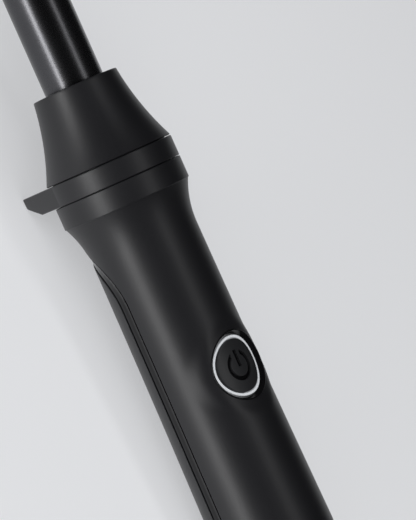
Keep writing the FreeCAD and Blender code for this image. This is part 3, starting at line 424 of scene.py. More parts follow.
class Bench:
    """The modelling moves that the pieces share."""

    SMOOTH = math.radians(40)
    MERGE = 0.002 * MM
    SLIVER = 0.0001 * MM
    FINE = 192

    @staticmethod
    def clear() -> None:
        """Leave edit mode and deselect everything."""
        if bpy.context.object is not None and bpy.context.object.mode != "OBJECT":
            bpy.ops.object.mode_set(mode="OBJECT")
        bpy.ops.object.select_all(action="DESELECT")

    @staticmethod
    def take(piece: bpy.types.Object) -> None:
        """Select one piece alone and make it active.

        Args:
            piece: The piece.
        """
        Bench.clear()
        piece.select_set(True)
        bpy.context.view_layer.objects.active = piece

    @staticmethod
    @contextmanager
    def editing(piece: bpy.types.Object) -> Iterator[None]:
        """Work on one piece in edit mode, with all of it selected at first.

        Args:
            piece: The piece.

        Yields:
            Nothing; edit mode lasts as long as the block.
        """
        Bench.take(piece)
        bpy.ops.object.mode_set(mode="EDIT")
        bpy.ops.mesh.select_all(action="SELECT")
        yield
        bpy.ops.object.mode_set(mode="OBJECT")

    @staticmethod
    def tidy() -> None:
        """In edit mode: merge doubles and point the faces outwards."""
        bpy.ops.mesh.select_all(action="SELECT")
        bpy.ops.mesh.remove_doubles(threshold=Bench.MERGE)
        bpy.ops.mesh.normals_make_consistent(inside=False)

    @staticmethod
    def turn(name: str, points: Sequence[Spot], steps: int = 160) -> bpy.types.Object:
        """Trace a closed half section and spin it about the axis.

        Args:
            name: The piece's name.
            points: The half section, as distances from the axis and levels.
            steps: The number of steps in the spin.

        Returns:
            The turned piece.
        """
        Bench.clear()
        bpy.ops.mesh.primitive_plane_add(size=MM)
        piece = bpy.context.object
        piece.name = name
        spots = [Vector((radius, 0.0, level)) for radius, level in points]
        with Bench.editing(piece):
            bpy.ops.mesh.merge(type="CENTER")
            bpy.ops.transform.translate(value=spots[0])
            for start, end in zip(spots, spots[1:] + spots[:1]):
                bpy.ops.mesh.extrude_region_move(TRANSFORM_OT_translate={"value": end - start})
            bpy.ops.mesh.select_all(action="SELECT")
            bpy.ops.mesh.remove_doubles(threshold=Bench.MERGE)
            bpy.ops.mesh.spin(steps=steps, angle=math.tau, center=(0, 0, 0), axis=(0, 0, 1))
            Bench.tidy()
        return piece

    @staticmethod
    def sheet(name: str, points: Sequence[Spot], insets: Iterable[float],
              columns: Iterable[float], rows: Iterable[float]) -> bpy.types.Object:
        """A flat pattern: one face, inset along its edge and cut along columns and rows.

        Args:
            name: The piece's name.
            points: The pattern's outline.
            insets: The widths of the strips along its edge, from the edge inwards.
            columns: Where it is cut across.
            rows: Where it is cut up.

        Returns:
            The flat piece.
        """
        Bench.clear()
        bpy.ops.mesh.primitive_circle_add(vertices=len(points), radius=MM, fill_type="NGON")
        piece = bpy.context.object
        piece.name = name
        for vertex, (across, up) in zip(piece.data.vertices, points):
            vertex.co = (across, up, 0.0)
        with Bench.editing(piece):
            for width in insets:
                bpy.ops.mesh.inset(thickness=width, depth=0, use_even_offset=True)
            for spots, normal in ((columns, Vector((1, 0, 0))), (rows, Vector((0, 1, 0)))):
                for spot in spots:
                    bpy.ops.mesh.select_all(action="SELECT")
                    bpy.ops.mesh.bisect(plane_co=normal * spot, plane_no=normal,
                                        threshold=Bench.SLIVER)
        return piece

    @staticmethod
    def modify(piece: bpy.types.Object, kind: str, **settings: object) -> None:
        """Add one modifier to a piece and apply it.

        Args:
            piece: The piece.
            kind: The modifier's type.
            **settings: The modifier's own settings.
        """
        Bench.take(piece)
        modifier = piece.modifiers.new(kind.lower(), kind)
        for setting, value in settings.items():
            setattr(modifier, setting, value)
        bpy.ops.object.modifier_apply(modifier=modifier.name)

    @staticmethod
    def cut(piece: bpy.types.Object, tool: bpy.types.Object) -> None:
        """Take a tool's shape out of a piece, and the tool away."""
        Bench.modify(piece, "BOOLEAN", operation="DIFFERENCE", object=tool, solver="EXACT")
        bpy.data.objects.remove(tool)

    @staticmethod
    def join(pieces: Sequence[bpy.types.Object], name: str) -> bpy.types.Object:
        """Join several pieces into one.

        Args:
            pieces: The pieces, of which the first stays.
            name: The joined piece's name.

        Returns:
            The joined piece.
        """
        Bench.clear()
        for piece in pieces:
            piece.select_set(True)
        bpy.context.view_layer.objects.active = pieces[0]
        bpy.ops.object.join()
        pieces[0].name = name
        return pieces[0]

    @staticmethod
    def mirror(piece: bpy.types.Object) -> None:
        """Double a half piece across the plane through the axis and the button.

        Args:
            piece: The half piece.
        """
        Bench.modify(piece, "MIRROR", use_axis=(False, True, False), use_clip=True,
                     merge_threshold=Bench.MERGE)
        with Bench.editing(piece):
            Bench.tidy()

    @staticmethod
    def face_away(piece: bpy.types.Object) -> None:
        """Point an open sheet's faces away from the axis.

        Args:
            piece: The sheet.
        """
        face = piece.data.polygons[0]
        if face.normal.xy.dot(face.center.xy) < 0:
            with Bench.editing(piece):
                bpy.ops.mesh.flip_normals()

    @staticmethod
    def finish(piece: bpy.types.Object, look: Look, body: str, nodes: Sequence[str],
               place: Optional[Matrix] = None) -> bpy.types.Object:
        """Lay a finished piece into the frame, smooth it, dress it and let it ride.

        Args:
            piece: The piece, modelled upright.
            look: Its finish.
            body: The body that it rides on.
            nodes: The CAD nodes that it stands for, if any.
            place: Its place in the iron's own axes, if it isn't modelled there.

        Returns:
            The piece.
        """
        Bench.take(piece)
        piece.matrix_world = AXES @ (place or Matrix.Identity(4)) @ piece.matrix_world
        bpy.ops.object.transform_apply(location=True, rotation=True, scale=True)
        bpy.ops.object.shade_smooth_by_angle(angle=Bench.SMOOTH)
        piece.data.materials.clear()
        piece.data.materials.append(look.material)
        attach(piece, body)
        if nodes:
            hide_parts(*nodes)
        log.info("%s: %d faces, on %s", piece.name, len(piece.data.polygons), body)
        return piece


# --- handle


@dataclass
class Handle:
    """The grip: two shells and the strip between them."""

    wall: float = 2.0 * MM
    parting: float = 0.15 * MM
    trim_width: float = 5.0 * MM
    trim_recess: float = 0.45 * MM
    bead_width: float = 0.8 * MM
    bead_height: float = 0.35 * MM
    arch_drop: float = 38.5 * MM
    arch_radius: float = 30.0 * MM
    rounding: float = 0.35 * MM
    blend_start: float = 14.6 * MM
    blend_end: float = 22.0 * MM
    blend_lift: float = 0.8 * MM
    bezel_step: float = 0.3 * MM
    hole_gap: float = 0.1 * MM
    hole_depth: float = 30.0 * MM
    screw_hole: float = 2.9 * MM
    screw_hole_depth: float = 8.0 * MM
    girth: float = 23.0 * MM
    edge_strips: tuple[float, ...] = (0.04 * MM, 0.08 * MM, 0.11 * MM, 0.14 * MM, 0.25 * MM)
    front_pitch: float = 1.5 * MM
    rear_pitch: float = 2.0 * MM
    line_steps: int = 40
    arch_step: float = 0.01

    @property
    def arch_level(self) -> float:
        """The centre of the arch above the tail."""
        return LAYOUT.handle_length - self.arch_drop

    def build(self) -> None:
        """Make and dress the handle's pieces."""
        self._front_shell()
        self._rear_cover()
        self._side_trim()

    def _side_line(self, face: float, radius: float) -> list[Spot]:
        """A parting line from the tail up the side and over the arch, unrolled.

        Args:
            face: How far in front of the side plane the line runs.
            radius: The radius of its arch.

        Returns:
            Points of angle times girth, and level.
        """
        rise = (self.arch_level - LAYOUT.shell_level) / self.line_steps
        line = [(face, LAYOUT.shell_level + rise * step) for step in range(self.line_steps + 1)]
        for step in range(1, self.line_steps + 1):
            depth, level = self._arch(face, radius, math.pi / 2 * step / self.line_steps)
            if depth <= -LAYOUT.grip_radius(level):
                break
            line.append((depth, level))
        unrolled = [(math.acos(depth / LAYOUT.grip_radius(level)) * self.girth, level)
                    for depth, level in line]
        turn = math.pi / 2
        depth, apex = self._arch(face, radius, turn)
        while depth < -LAYOUT.grip_radius(apex):
            turn -= self.arch_step
            depth, apex = self._arch(face, radius, turn)
        unrolled.append((math.pi * self.girth, apex))
        return unrolled

    def _arch(self, face: float, radius: float, turn: float) -> Spot:
        """The depth and level of a spot on an arch, at an angle round it from its spring."""
        return face - radius * (1 - math.cos(turn)), self.arch_level + radius * math.sin(turn)

    def _columns(self, first: int, last: int, fine: int = 0) -> list[float]:
        """Where a pattern is cut across, in steps of 3 degrees round the axis.

        Args:
            first: The first column's angle in degrees.
            last: The angle before which the columns end.
            fine: How many columns more lie half way between, from the first step on.

        Returns:
            The columns' places in the unrolled pattern.
        """
        turns = [float(turn) for turn in range(first, last, 3)]
        turns += [1.5 + 3 * number for number in range(fine)]
        return [self.girth * math.radians(turn) for turn in turns]

    @staticmethod
    def _rows(bottom: float, top: float, pitch: float) -> list[float]:
        """Where a pattern is cut up: every pitch above the bottom, to just under the top."""
        rows = [bottom + pitch * step for step in range(1, int((top - bottom) / pitch) + 1)]
        return [row for row in rows if row < top - 0.1 * MM]

    @staticmethod
    def _reach(spot: Spot, line: Sequence[Spot]) -> float:
        """The distance from a point to a line of points, in the unrolled pattern.

        Args:
            spot: The point.
            line: The line's points.

        Returns:
            The distance.
        """
        best = math.inf
        for (ax, ay), (bx, by) in zip(line, line[1:]):
            run_x, run_y = bx - ax, by - ay
            share = ((spot[0] - ax) * run_x + (spot[1] - ay) * run_y) / (run_x**2 + run_y**2)
            share = min(max(share, 0.0), 1.0)
            gap = math.hypot(spot[0] - ax - share * run_x, spot[1] - ay - share * run_y)
            best = min(best, gap)
        return best

    def _edge_drop(self, reach: float) -> float:
        """How far a rounded edge lies below its surface.

        Args:
            reach: The distance from the edge.

        Returns:
            The drop.
        """
        if reach >= self.rounding:
            return 0.0
        return self.rounding - math.sqrt(self.rounding**2 - (self.rounding - reach) ** 2)

    def _wrap(self, piece: bpy.types.Object, radius_at: Callable[[float, float], float]) -> None:
        """Roll a flat pattern up round the axis.

        Args:
            piece: The pattern.
            radius_at: The radius from an unrolled place across and a level.
        """
        for vertex in piece.data.vertices:
            across, level = vertex.co.x, vertex.co.y
            angle = across / self.girth
            radius = radius_at(across, level)
            vertex.co = (radius * math.cos(angle), radius * math.sin(angle), level)
            if abs(vertex.co.y) < Bench.MERGE:
                vertex.co.y = 0.0

    def _shell(self, name: str, points: Sequence[Spot], line: Sequence[Spot],
               columns: Iterable[float], rows: Iterable[float],
               radius_at: Callable[[float, float], float]) -> bpy.types.Object:
        """A shell rolled from a half pattern, doubled, and given its wall.

        Args:
            name: The piece's name.
            points: The half pattern's outline.
            line: Its free edge, which is rounded.
            columns: Where the pattern is cut across.
            rows: Where it is cut up.
            radius_at: The surface's radius before its edge is rounded.

        Returns:
            The shell.
        """
        piece = Bench.sheet(name, points, self.edge_strips, columns, rows)
        self._wrap(piece, lambda across, level: radius_at(across, level)
                   - self._edge_drop(self._reach((across, level), line)))
        Bench.mirror(piece)
        Bench.face_away(piece)
        Bench.modify(piece, "SOLIDIFY", thickness=self.wall, offset=-1.0)
        return piece

    def _front_shell(self) -> None:
        """The front shell: softly raised round the button, and whole above the arch."""
        line = self._side_line(0.0, self.arch_radius)
        bottom, top = LAYOUT.shell_level, LAYOUT.handle_length
        points = [(0.0, bottom)] + line + [(math.pi * self.girth, top), (0.0, top)]
        rows = self._rows(bottom, top, self.front_pitch)
        low = LAYOUT.button_height - self.blend_end
        rows += [low + (0.5 + step) * self.front_pitch
                 for step in range(int(2 * self.blend_end / self.front_pitch))]

        def radius_at(across: float, level: float) -> float:
            """The grip's radius, eased to the button's crowned face round the bezel.

            Args:
                across: The place across in the unrolled pattern.
                level: The height above the tail.

            Returns:
                The radius there.
            """
            angle = across / self.girth
            plain = LAYOUT.grip_radius(level)
            side = plain * math.sin(angle)
            if angle > math.pi / 2 or side > self.blend_end:
                return plain
            reach = math.hypot(side, level - LAYOUT.button_height)
            share = (self.blend_end - reach) / (self.blend_end - self.blend_start)
            share = min(max(share, 0.0), 1.0)
            share = share**3 * (10 - 15 * share + 6 * share * share)
            centre = LAYOUT.bezel_face - LAYOUT.bezel_crown
            crown = LAYOUT.bezel_crown - self.bezel_step
            raised = centre * math.cos(angle)
            raised += math.sqrt(crown**2 - (centre * math.sin(angle)) ** 2)
            lift = raised - plain
            if lift > 0:
                lift = self.blend_lift * math.tanh(lift / self.blend_lift)
            return plain + lift * share

        shell = self._shell("front_shell_skin", points, line, self._columns(3, 180, 28), rows,
                            radius_at)
        Bench.clear()
        bpy.ops.mesh.primitive_cylinder_add(
            vertices=Bench.FINE, radius=LAYOUT.bezel_radius + self.hole_gap, depth=self.hole_depth,
            rotation=(0, math.pi / 2, 0), location=(LAYOUT.bezel_face, 0, LAYOUT.button_height))
        Bench.cut(shell, bpy.context.object)
        Bench.finish(shell, Look.SOFT_TOUCH, "handle", ["front_shell"])

    def _rear_cover(self) -> None:
        """The rear cover, between the two strips of trim and under their arch."""
        face = -(self.trim_width + self.parting)
        line = self._side_line(face, self.arch_radius + face)
        points = line + [(math.pi * self.girth, LAYOUT.shell_level)]
        rows = self._rows(LAYOUT.shell_level, line[-1][1], self.rear_pitch)
        cover = self._shell("rear_cover_skin", points[::-1], line, self._columns(105, 180), rows,
                            lambda across, level: LAYOUT.grip_radius(level))
        for level in LAYOUT.screw_levels:
            Bench.clear()
            bpy.ops.mesh.primitive_cylinder_add(
                vertices=64, radius=self.screw_hole, depth=self.screw_hole_depth,
                rotation=(0, math.pi / 2, 0),
                location=(-(LAYOUT.screw_seat + self.screw_hole_depth / 2), 0, level))
            Bench.cut(cover, bpy.context.object)
        Bench.finish(cover, Look.SOFT_TOUCH, "handle", ["rear_cover"])

    def _side_trim(self) -> None:
        """The glossy strip round the rear cover, with a fine bead along its outer edge."""
        outer = self._side_line(-self.parting, self.arch_radius - self.parting)
        inner = self._side_line(-self.trim_width, self.arch_radius - self.trim_width)
        points = inner[::-1] + outer
        rows = self._rows(LAYOUT.shell_level, outer[-1][1], self.rear_pitch)

        def radius_at(across: float, level: float) -> float:
            """The trim's sunk surface, with its bead.

            Args:
                across: The place across in the unrolled pattern.
                level: The height above the tail.

            Returns:
                The radius there.
            """
            reach = self._reach((across, level), outer)
            lift = max(1.0 - (2 * reach / self.bead_width - 1.0) ** 2, 0.0)
            return LAYOUT.grip_radius(level) - self.trim_recess + self.bead_height * lift

        line = outer + inner[::-1]
        trim = self._shell("side_trim_skin", points[::-1], line, self._columns(93, 180), rows,
                           radius_at)
        Bench.finish(trim, Look.PIANO, "handle", ["side_trim"])


@dataclass
class TailCap:
    """The rounded cap that closes the grip, with the swivel's bearing in it."""

    bearing: float = 7.01 * MM
    edge: float = 5.0 * MM
    seam_edge: float = 0.25 * MM
    spigot: float = 20.0 * MM
    spigot_bore: float = 17.8 * MM
    boss: float = 10.5 * MM
    floor: float = 3.0 * MM
    depth: float = 14.0 * MM
    rounding: float = 0.3 * MM
    mouth: float = 0.4 * MM

    def build(self) -> None:
        """Make and dress the cap."""
        outline = Outline().run(
            (self.bearing, 0.0, self.mouth), (LAYOUT.tail_radius, 0.0, self.edge),
            (LAYOUT.tail_radius, LAYOUT.tail_height, self.seam_edge),
            (self.spigot, LAYOUT.tail_height), (self.spigot, self.depth, self.rounding),
            (self.spigot_bore, self.depth, self.rounding), (self.spigot_bore, self.floor),
            (self.boss, self.floor), (self.boss, self.depth, self.rounding),
            (self.bearing, self.depth))
        cap = Bench.turn("tail_cap_skin", outline.points(steps=10))
        Bench.finish(cap, Look.SOFT_TOUCH, "handle", ["tail_cap"])


# --- nose, stand ring and collar


@dataclass
class Nose:
    """The flared nose, the stand ring with its foot, and the collar under them."""

    edge: float = 0.35 * MM
    rim_bore: float = 15.8 * MM
    rim_radius: float = 18.1 * MM
    rim_depth: float = 6.0 * MM
    nose_foot: float = 27.0 * MM
    nose_wall: float = 2.4 * MM
    nose_curve: float = 115.0 * MM
    nose_lip: float = 2.3 * MM
    bore_edge: float = 0.25 * MM
    ring_bore: float = 21.0 * MM
    ring_plug: float = 23.9 * MM
    plug_depth: float = 5.5 * MM
    ring_collar: float = 24.5 * MM
    collar_bore: float = 8.0 * MM
    collar_socket: float = 24.0 * MM
    collar_web: float = 3.0 * MM
    skirt: float = 20.2 * MM
    skirt_bore: float = 17.5 * MM
    skirt_depth: float = 8.0 * MM
    skirt_edge: float = 0.3 * MM
    step_edge: float = 0.22 * MM
    rounding: float = 0.2 * MM
    foot_root: float = 23.0 * MM
    root_half: float = 10.0 * MM
    foot_cuts: tuple[float, ...] = (-27.6 * MM, -33 * MM)
    foot_bevel: float = 0.5 * MM
    foot_bevel_turn: float = math.radians(35)
    foot_bite: float = 0.05 * MM
    slope_start: float = 0.4 * MM
    foot_reach: float = 39.4 * MM
    foot_half: float = 14.5 * MM
    foot_tip: float = 4.0 * MM
    foot_corner: float = 3.0 * MM

    def build(self) -> None:
        """Make and dress the nose's pieces."""
        self._nose_cone()
        self._stand_ring()
        self._collar()

    def _nose_cone(self) -> None:
        """The hollow-flanked cone, open round the barrel."""
        bottom, top = LAYOUT.nose_level, LAYOUT.rim_level
        outline = Outline().run(
            (self.nose_foot - self.nose_wall, bottom), (self.nose_foot - self.edge, bottom),
            (self.nose_foot, bottom + self.edge))
        outline.bow(self.rim_radius, top - self.edge, -self.nose_curve, 32)
        outline.run(
            (self.rim_radius - self.edge * 0.3, top - self.edge * 0.3),
            (self.rim_radius - self.edge, top), (self.rim_bore, top, self.bore_edge),
            (self.rim_bore, top - self.rim_depth))
        outline.bow(self.nose_foot - self.nose_wall, bottom + self.nose_lip, self.nose_curve, 12)
        cone = Bench.turn("nose_cone_skin", outline.points(), Bench.FINE)
        Bench.finish(cone, Look.SOFT_TOUCH, "handle", ["nose_cone"])

    def _stand_ring(self) -> None:
        """The ring whose wide foot holds the hot barrel off the table."""
        bottom, top = LAYOUT.ring_level, LAYOUT.ring_level + LAYOUT.ring_height
        outline = Outline().run(
            (self.ring_bore, bottom - self.plug_depth, self.rounding),
            (self.ring_plug, bottom - self.plug_depth, self.rounding), (self.ring_plug, bottom),
            (LAYOUT.ring_radius, bottom, self.edge), (LAYOUT.ring_radius, top, self.edge),
            (self.ring_collar, top), (self.ring_collar, top + self.nose_lip, self.rounding),
            (self.ring_bore, top + self.nose_lip, self.rounding))
        ring = Bench.turn("stand_ring_turned", outline.points(), Bench.FINE)
        foot = self._foot(bottom, top)
        Bench.finish(Bench.join([ring, foot], "stand_ring_skin"), Look.SOFT_TOUCH, "handle",
                     ["stand_ring"])

    def _foot(self, bottom: float, top: float) -> bpy.types.Object:
        """The wedge-shaped foot, flush with the ring's top.

        Args:
            bottom: The ring's underside.
            top: The ring's top.

        Returns:
            The foot.
        """
        slope = math.tan(math.asin(AXES.to_3x3().col[2].z))
        middle = top - self.foot_tip / 2
        end = self.foot_reach + self.foot_tip
        span = end**2 + self.foot_half**2
        radius = LAYOUT.ring_radius - self.foot_bite
        away = radius * math.sqrt(span - radius**2) / span
        near = radius**2 / span
        touch = Vector((-end * near + self.foot_half * away, self.foot_half * near + end * away))
        outward = -self.foot_reach
        share = (touch.x - outward) / (touch.x + end)
        side = touch.y + (self.foot_half - touch.y) * share
        plan = Outline().run(
            (-self.foot_root, -self.root_half), (-self.foot_root, self.root_half),
            (touch.x, touch.y), (outward, side, self.foot_corner),
            (outward, -side, self.foot_corner), (touch.x, -touch.y))
        foot = Bench.sheet("stand_foot", plan.points(steps=8), (), self.foot_cuts, ())
        with Bench.editing(foot):
            bpy.ops.mesh.extrude_region_move(
                TRANSFORM_OT_translate={"value": (0, 0, top - bottom)})
            bpy.ops.mesh.select_all(action="SELECT")
            bpy.ops.mesh.normals_make_consistent(inside=False)
        root = -(LAYOUT.ring_radius + self.slope_start)
        rise = (top - self.foot_tip - bottom) / (outward - root)
        for vertex in foot.data.vertices:
            low = vertex.co.z < (top - bottom) / 2
            if low and vertex.co.x < root:
                vertex.co.z += (vertex.co.x - root) * rise
            vertex.co.z += bottom
            if vertex.co.x < outward + self.foot_corner:
                share = (outward + self.foot_corner - vertex.co.x) / self.foot_corner
                vertex.co.x -= (vertex.co.z - middle) * slope * share
        Bench.modify(foot, "BEVEL", width=self.foot_bevel, segments=4, limit_method="ANGLE",
                     angle_limit=self.foot_bevel_turn)
        return foot

    def _collar(self) -> None:
        """The collar that grips the handle's flare."""
        bottom, top = LAYOUT.handle_length, LAYOUT.handle_length + LAYOUT.collar_height
        outline = Outline().run(
            (self.collar_bore, bottom), (self.skirt_bore, bottom),
            (self.skirt_bore, bottom - self.skirt_depth),
            (self.skirt, bottom - self.skirt_depth, self.skirt_edge), (self.skirt, bottom),
            (LAYOUT.ring_radius, bottom, self.step_edge), (LAYOUT.ring_radius, top, self.edge),
            (self.collar_socket, top, self.rounding),
            (self.collar_socket, bottom + self.collar_web),
            (self.collar_bore, bottom + self.collar_web))
        collar = Bench.turn("collar_base_skin", outline.points(), Bench.FINE)
        Bench.finish(collar, Look.SOFT_TOUCH, "handle", ["collar_base"])


# --- barrel


@dataclass
class Barrel:
    """The heated barrel and its cool tip."""

    wall: float = 1.0 * MM
    seat_depth: float = 30.1 * MM
    seat_step: float = 0.3 * MM
    foot_edge: float = 0.05 * MM
    step_edge: float = 0.04 * MM
    tip_step: float = 0.2 * MM
    tip_edge: float = 5.0 * MM
    tip_bore: float = 7.1 * MM
    tip_bore_depth: float = 12.0 * MM
    rounding: float = 0.3 * MM

    def build(self) -> None:
        """Make and dress the barrel's pieces."""
        radius = LAYOUT.barrel_radius
        bottom, top = LAYOUT.rim_level - self.seat_depth, LAYOUT.tip_level - LAYOUT.seam
        outline = Outline().run(
            (radius - self.wall, bottom), (radius - self.seat_step, bottom, self.foot_edge),
            (radius - self.seat_step, LAYOUT.rim_level),
            (radius, LAYOUT.rim_level, self.step_edge), (radius, top, self.rounding),
            (radius - self.wall, top))
        tube = Bench.turn("barrel_tube_skin", outline.points(), Bench.FINE)
        Bench.finish(tube, Look.BARREL, "handle", ["barrel_tube"])
        self._tip()

    def _tip(self) -> None:
        """The cool tip, rounded for fingers and bored for its insulator."""
        radius = LAYOUT.barrel_radius - self.tip_step
        bottom, top = LAYOUT.tip_level, LAYOUT.tip_level + LAYOUT.tip_length
        outline = Outline().run(
            (self.tip_bore, bottom), (radius, bottom, self.rounding),
            (radius, top, self.tip_edge), (0.0, top), (0.0, bottom + self.tip_bore_depth),
            (self.tip_bore, bottom + self.tip_bore_depth))
        tip = Bench.turn("tip_cap_skin", outline.points(steps=12))
        Bench.finish(tip, Look.TIP, "handle", ["tip_cap"])


# --- power button


@dataclass
class PowerButton:
    """The sunk, crowned button with its sign, the light ring round it and the dished bezel."""

    stack: float = 9.6 * MM
    radius: float = 11.05 * MM
    glow_gap: float = 0.4 * MM
    glow_width: float = 1.0 * MM
    glow_slope: float = 0.25 * MM
    sleeve: float = 13.1 * MM
    sleeve_wall: float = 0.8 * MM
    sleeve_foot: float = 1.1 * MM
    sleeve_top: float = 5.6 * MM
    ledge: float = 4.6 * MM
    slip: float = 0.1 * MM
    dish_width: float = 1.5 * MM
    dish_depth: float = 2.0 * MM
    brim: float = 11.9 * MM
    brim_height: float = 1.2 * MM
    skirt: float = 8.65 * MM
    roof: float = 7.2 * MM
    stem: float = 2.2 * MM
    stem_foot: float = 4.5 * MM
    sign_depth: float = 1.2 * MM
    # The half thickness of the dark sheet in the sign's grooves, which is painted shade.
    shade_floor_skin: float = 0.1 * MM
    sign_radius: float = 5.4 * MM
    sign_stroke: float = 1.8 * MM
    sign_gap: float = 5.0 * MM
    sign_bar: float = 7.0 * MM
    sign_bar_end: float = 6.5 * MM
    face_edge: float = 0.3 * MM
    glow_edge: float = 0.15 * MM
    rim_edge: float = 0.2 * MM
    dish_edge: float = 0.35 * MM
    lip_edge: float = 0.5 * MM

    @property
    def place(self) -> Matrix:
        """The button's own axes in the iron's: up is out of the grip, and -X is towards the tip."""
        base = Vector((LAYOUT.button_face - self.stack, 0.0, LAYOUT.button_height))
        return Matrix.Translation(base) @ Matrix.Rotation(math.pi / 2, 4, "Y")

    def build(self) -> None:
        """Make and dress the button's pieces."""
        self._bezel()
        self._light_ring()
        self._button()

    @staticmethod
    def _crown(piece: bpy.types.Object, radius: float, low: float, full: float) -> None:
        """Bend a flat top to a crown about a line along the iron.

        Args:
            piece: The piece.
            radius: The crown's radius.
            low: The level under which nothing moves.
            full: The level from which everything follows the crown.
        """
        for vertex in piece.data.vertices:
            if vertex.co.z > low:
                share = min((vertex.co.z - low) / (full - low), 1.0)
                vertex.co.z -= (radius - math.sqrt(radius**2 - vertex.co.y**2)) * share

    def _bezel(self) -> None:
        """The sleeve that lines the hole and slopes down to the light ring."""
        lip = self.radius + self.glow_gap + self.glow_width + self.slip
        top = LAYOUT.bezel_face - LAYOUT.button_face + self.stack
        outline = Outline().run(
            (self.sleeve + self.slip, 0.0), (LAYOUT.bezel_radius, 0.0),
            (LAYOUT.bezel_radius, top, self.rim_edge),
            (lip + self.dish_width, top, self.dish_edge),
            (lip, top - self.dish_depth, self.lip_edge), (lip, self.sleeve_top + self.slip),
            (self.sleeve + self.slip, self.sleeve_top + self.slip))
        bezel = Bench.turn("button_bezel_skin", outline.points(steps=6))
        self._crown(bezel, LAYOUT.bezel_crown, self.sleeve_top + self.slip * 2,
                    top - self.dish_depth)
        Bench.finish(bezel, Look.PIANO, "handle", ["button_bezel"], self.place)

    def _light_ring(self) -> None:
        """The lit ring on its sleeve, its face sloping in a little."""
        inner = self.radius + self.glow_gap
        outer = inner + self.glow_width
        guide = self.sleeve - self.sleeve_wall
        outline = Outline().run(
            (guide, self.sleeve_foot), (self.sleeve, self.sleeve_foot),
            (self.sleeve, self.sleeve_top), (outer, self.sleeve_top),
            (outer, self.stack, self.glow_edge),
            (inner, self.stack - self.glow_slope, self.glow_edge), (inner, self.ledge),
            (guide, self.ledge))
        ring = Bench.turn("light_ring_skin", outline.points())
        self._crown(ring, LAYOUT.button_crown, self.sleeve_top + self.slip,
                    self.stack - self.glow_slope * 2)
        Bench.finish(ring, Look.GLOW, "handle", ["light_ring"], self.place)

    def _button(self) -> None:
        """The button, a skirted cap on a stem, and a gloss black floor in its sign's grooves, whose
        darkness is painted shade.
        """
        brim_top = self.ledge - self.slip * 2
        brim_low = brim_top - self.brim_height
        outline = Outline().run(
            (0.0, self.stem_foot), (self.stem, self.stem_foot), (self.stem, self.roof),
            (self.skirt, self.roof), (self.skirt, brim_low), (self.brim, brim_low),
            (self.brim, brim_top), (self.radius, brim_top),
            (self.radius, self.stack, self.face_edge))
        outline.run(*((self.radius * tenth / 10, self.stack) for tenth in range(9, -1, -1)))
        button = Bench.turn("power_button_skin", outline.points())
        self._crown(button, LAYOUT.button_crown, brim_top, self.stack - self.face_edge)
        floor = self.stack - self.sign_depth
        for stroke in self._sign(floor, self.stack + MM):
            Bench.cut(button, stroke)
        Bench.finish(button, Look.BUTTON, "button", ["power_button"], self.place)
        # The sign's floor: a dark gloss sheet that paints shade into the grooves.
        strokes = self._sign(floor - self.shade_floor_skin, floor + self.shade_floor_skin, self.shade_floor_skin)
        sign = Bench.join(strokes, "power_sign_shade_floor")
        Bench.finish(sign, Look.PIANO, "button", [], self.place)

    def _sign(self, bottom: float, top: float, spread: float = 0.0) -> list[bpy.types.Object]:
        """The two strokes of the plain on/off sign: a broken circle and a bar.

        Args:
            bottom: The height of their undersides.
            top: The height of their tops.
            spread: How much wider than the sign they are.

        Returns:
            The strokes, crowned like the face.
        """
        half = (self.sign_stroke + spread) / 2
        arc = Bench.turn("sign_arc", [
            (self.sign_radius - half, bottom), (self.sign_radius + half, bottom),
            (self.sign_radius + half, top), (self.sign_radius - half, top)], 96)
        Bench.clear()
        bpy.ops.mesh.primitive_cube_add(
            size=1, location=(-self.sign_radius, 0, self.stack),
            scale=(self.sign_radius * 2, self.sign_gap, self.sign_radius))
        Bench.cut(arc, bpy.context.object)
        Bench.clear()
        bpy.ops.mesh.primitive_cube_add(
            size=1, location=(self.sign_bar / 2 - self.sign_bar_end, 0, (bottom + top) / 2),
            scale=(self.sign_bar + spread, half * 2, top - bottom))
        bar = bpy.context.object
        bpy.ops.object.transform_apply(location=True, rotation=True, scale=True)
        for stroke in (arc, bar):
            self._crown(stroke, LAYOUT.button_crown, -self.stack, bottom - MM)
        return [arc, bar]


# --- swivel and screws


@dataclass
class Swivel:
    """The cord's inlet, which turns in the tail cap."""

    bore: float = 3.5 * MM
    shaft: float = 6.95 * MM
    shaft_top: float = 15.8 * MM
    neck: float = 5.5 * MM
    neck_top: float = 29.0 * MM
    brim: float = 8.6 * MM
    brim_edge: float = 1.5 * MM
    nose: float = 6.0 * MM
    mouth: float = 0.5 * MM
    rounding: float = 0.3 * MM
    play: float = 0.1 * MM

    def build(self) -> None:
        """Make and dress the gland."""
        outline = Outline().run(
            (self.bore, -self.nose, self.mouth), (self.brim, -self.nose, self.brim_edge),
            (self.brim, -self.play, self.rounding), (self.shaft, -self.play),
            (self.shaft, self.shaft_top), (self.neck, self.shaft_top),
            (self.neck, self.neck_top, self.rounding), (self.bore, self.neck_top, self.rounding))
        gland = Bench.turn("swivel_gland_skin", outline.points(), 96)
        Bench.finish(gland, Look.GLAND, "cord_swivel", ["swivel_gland"])


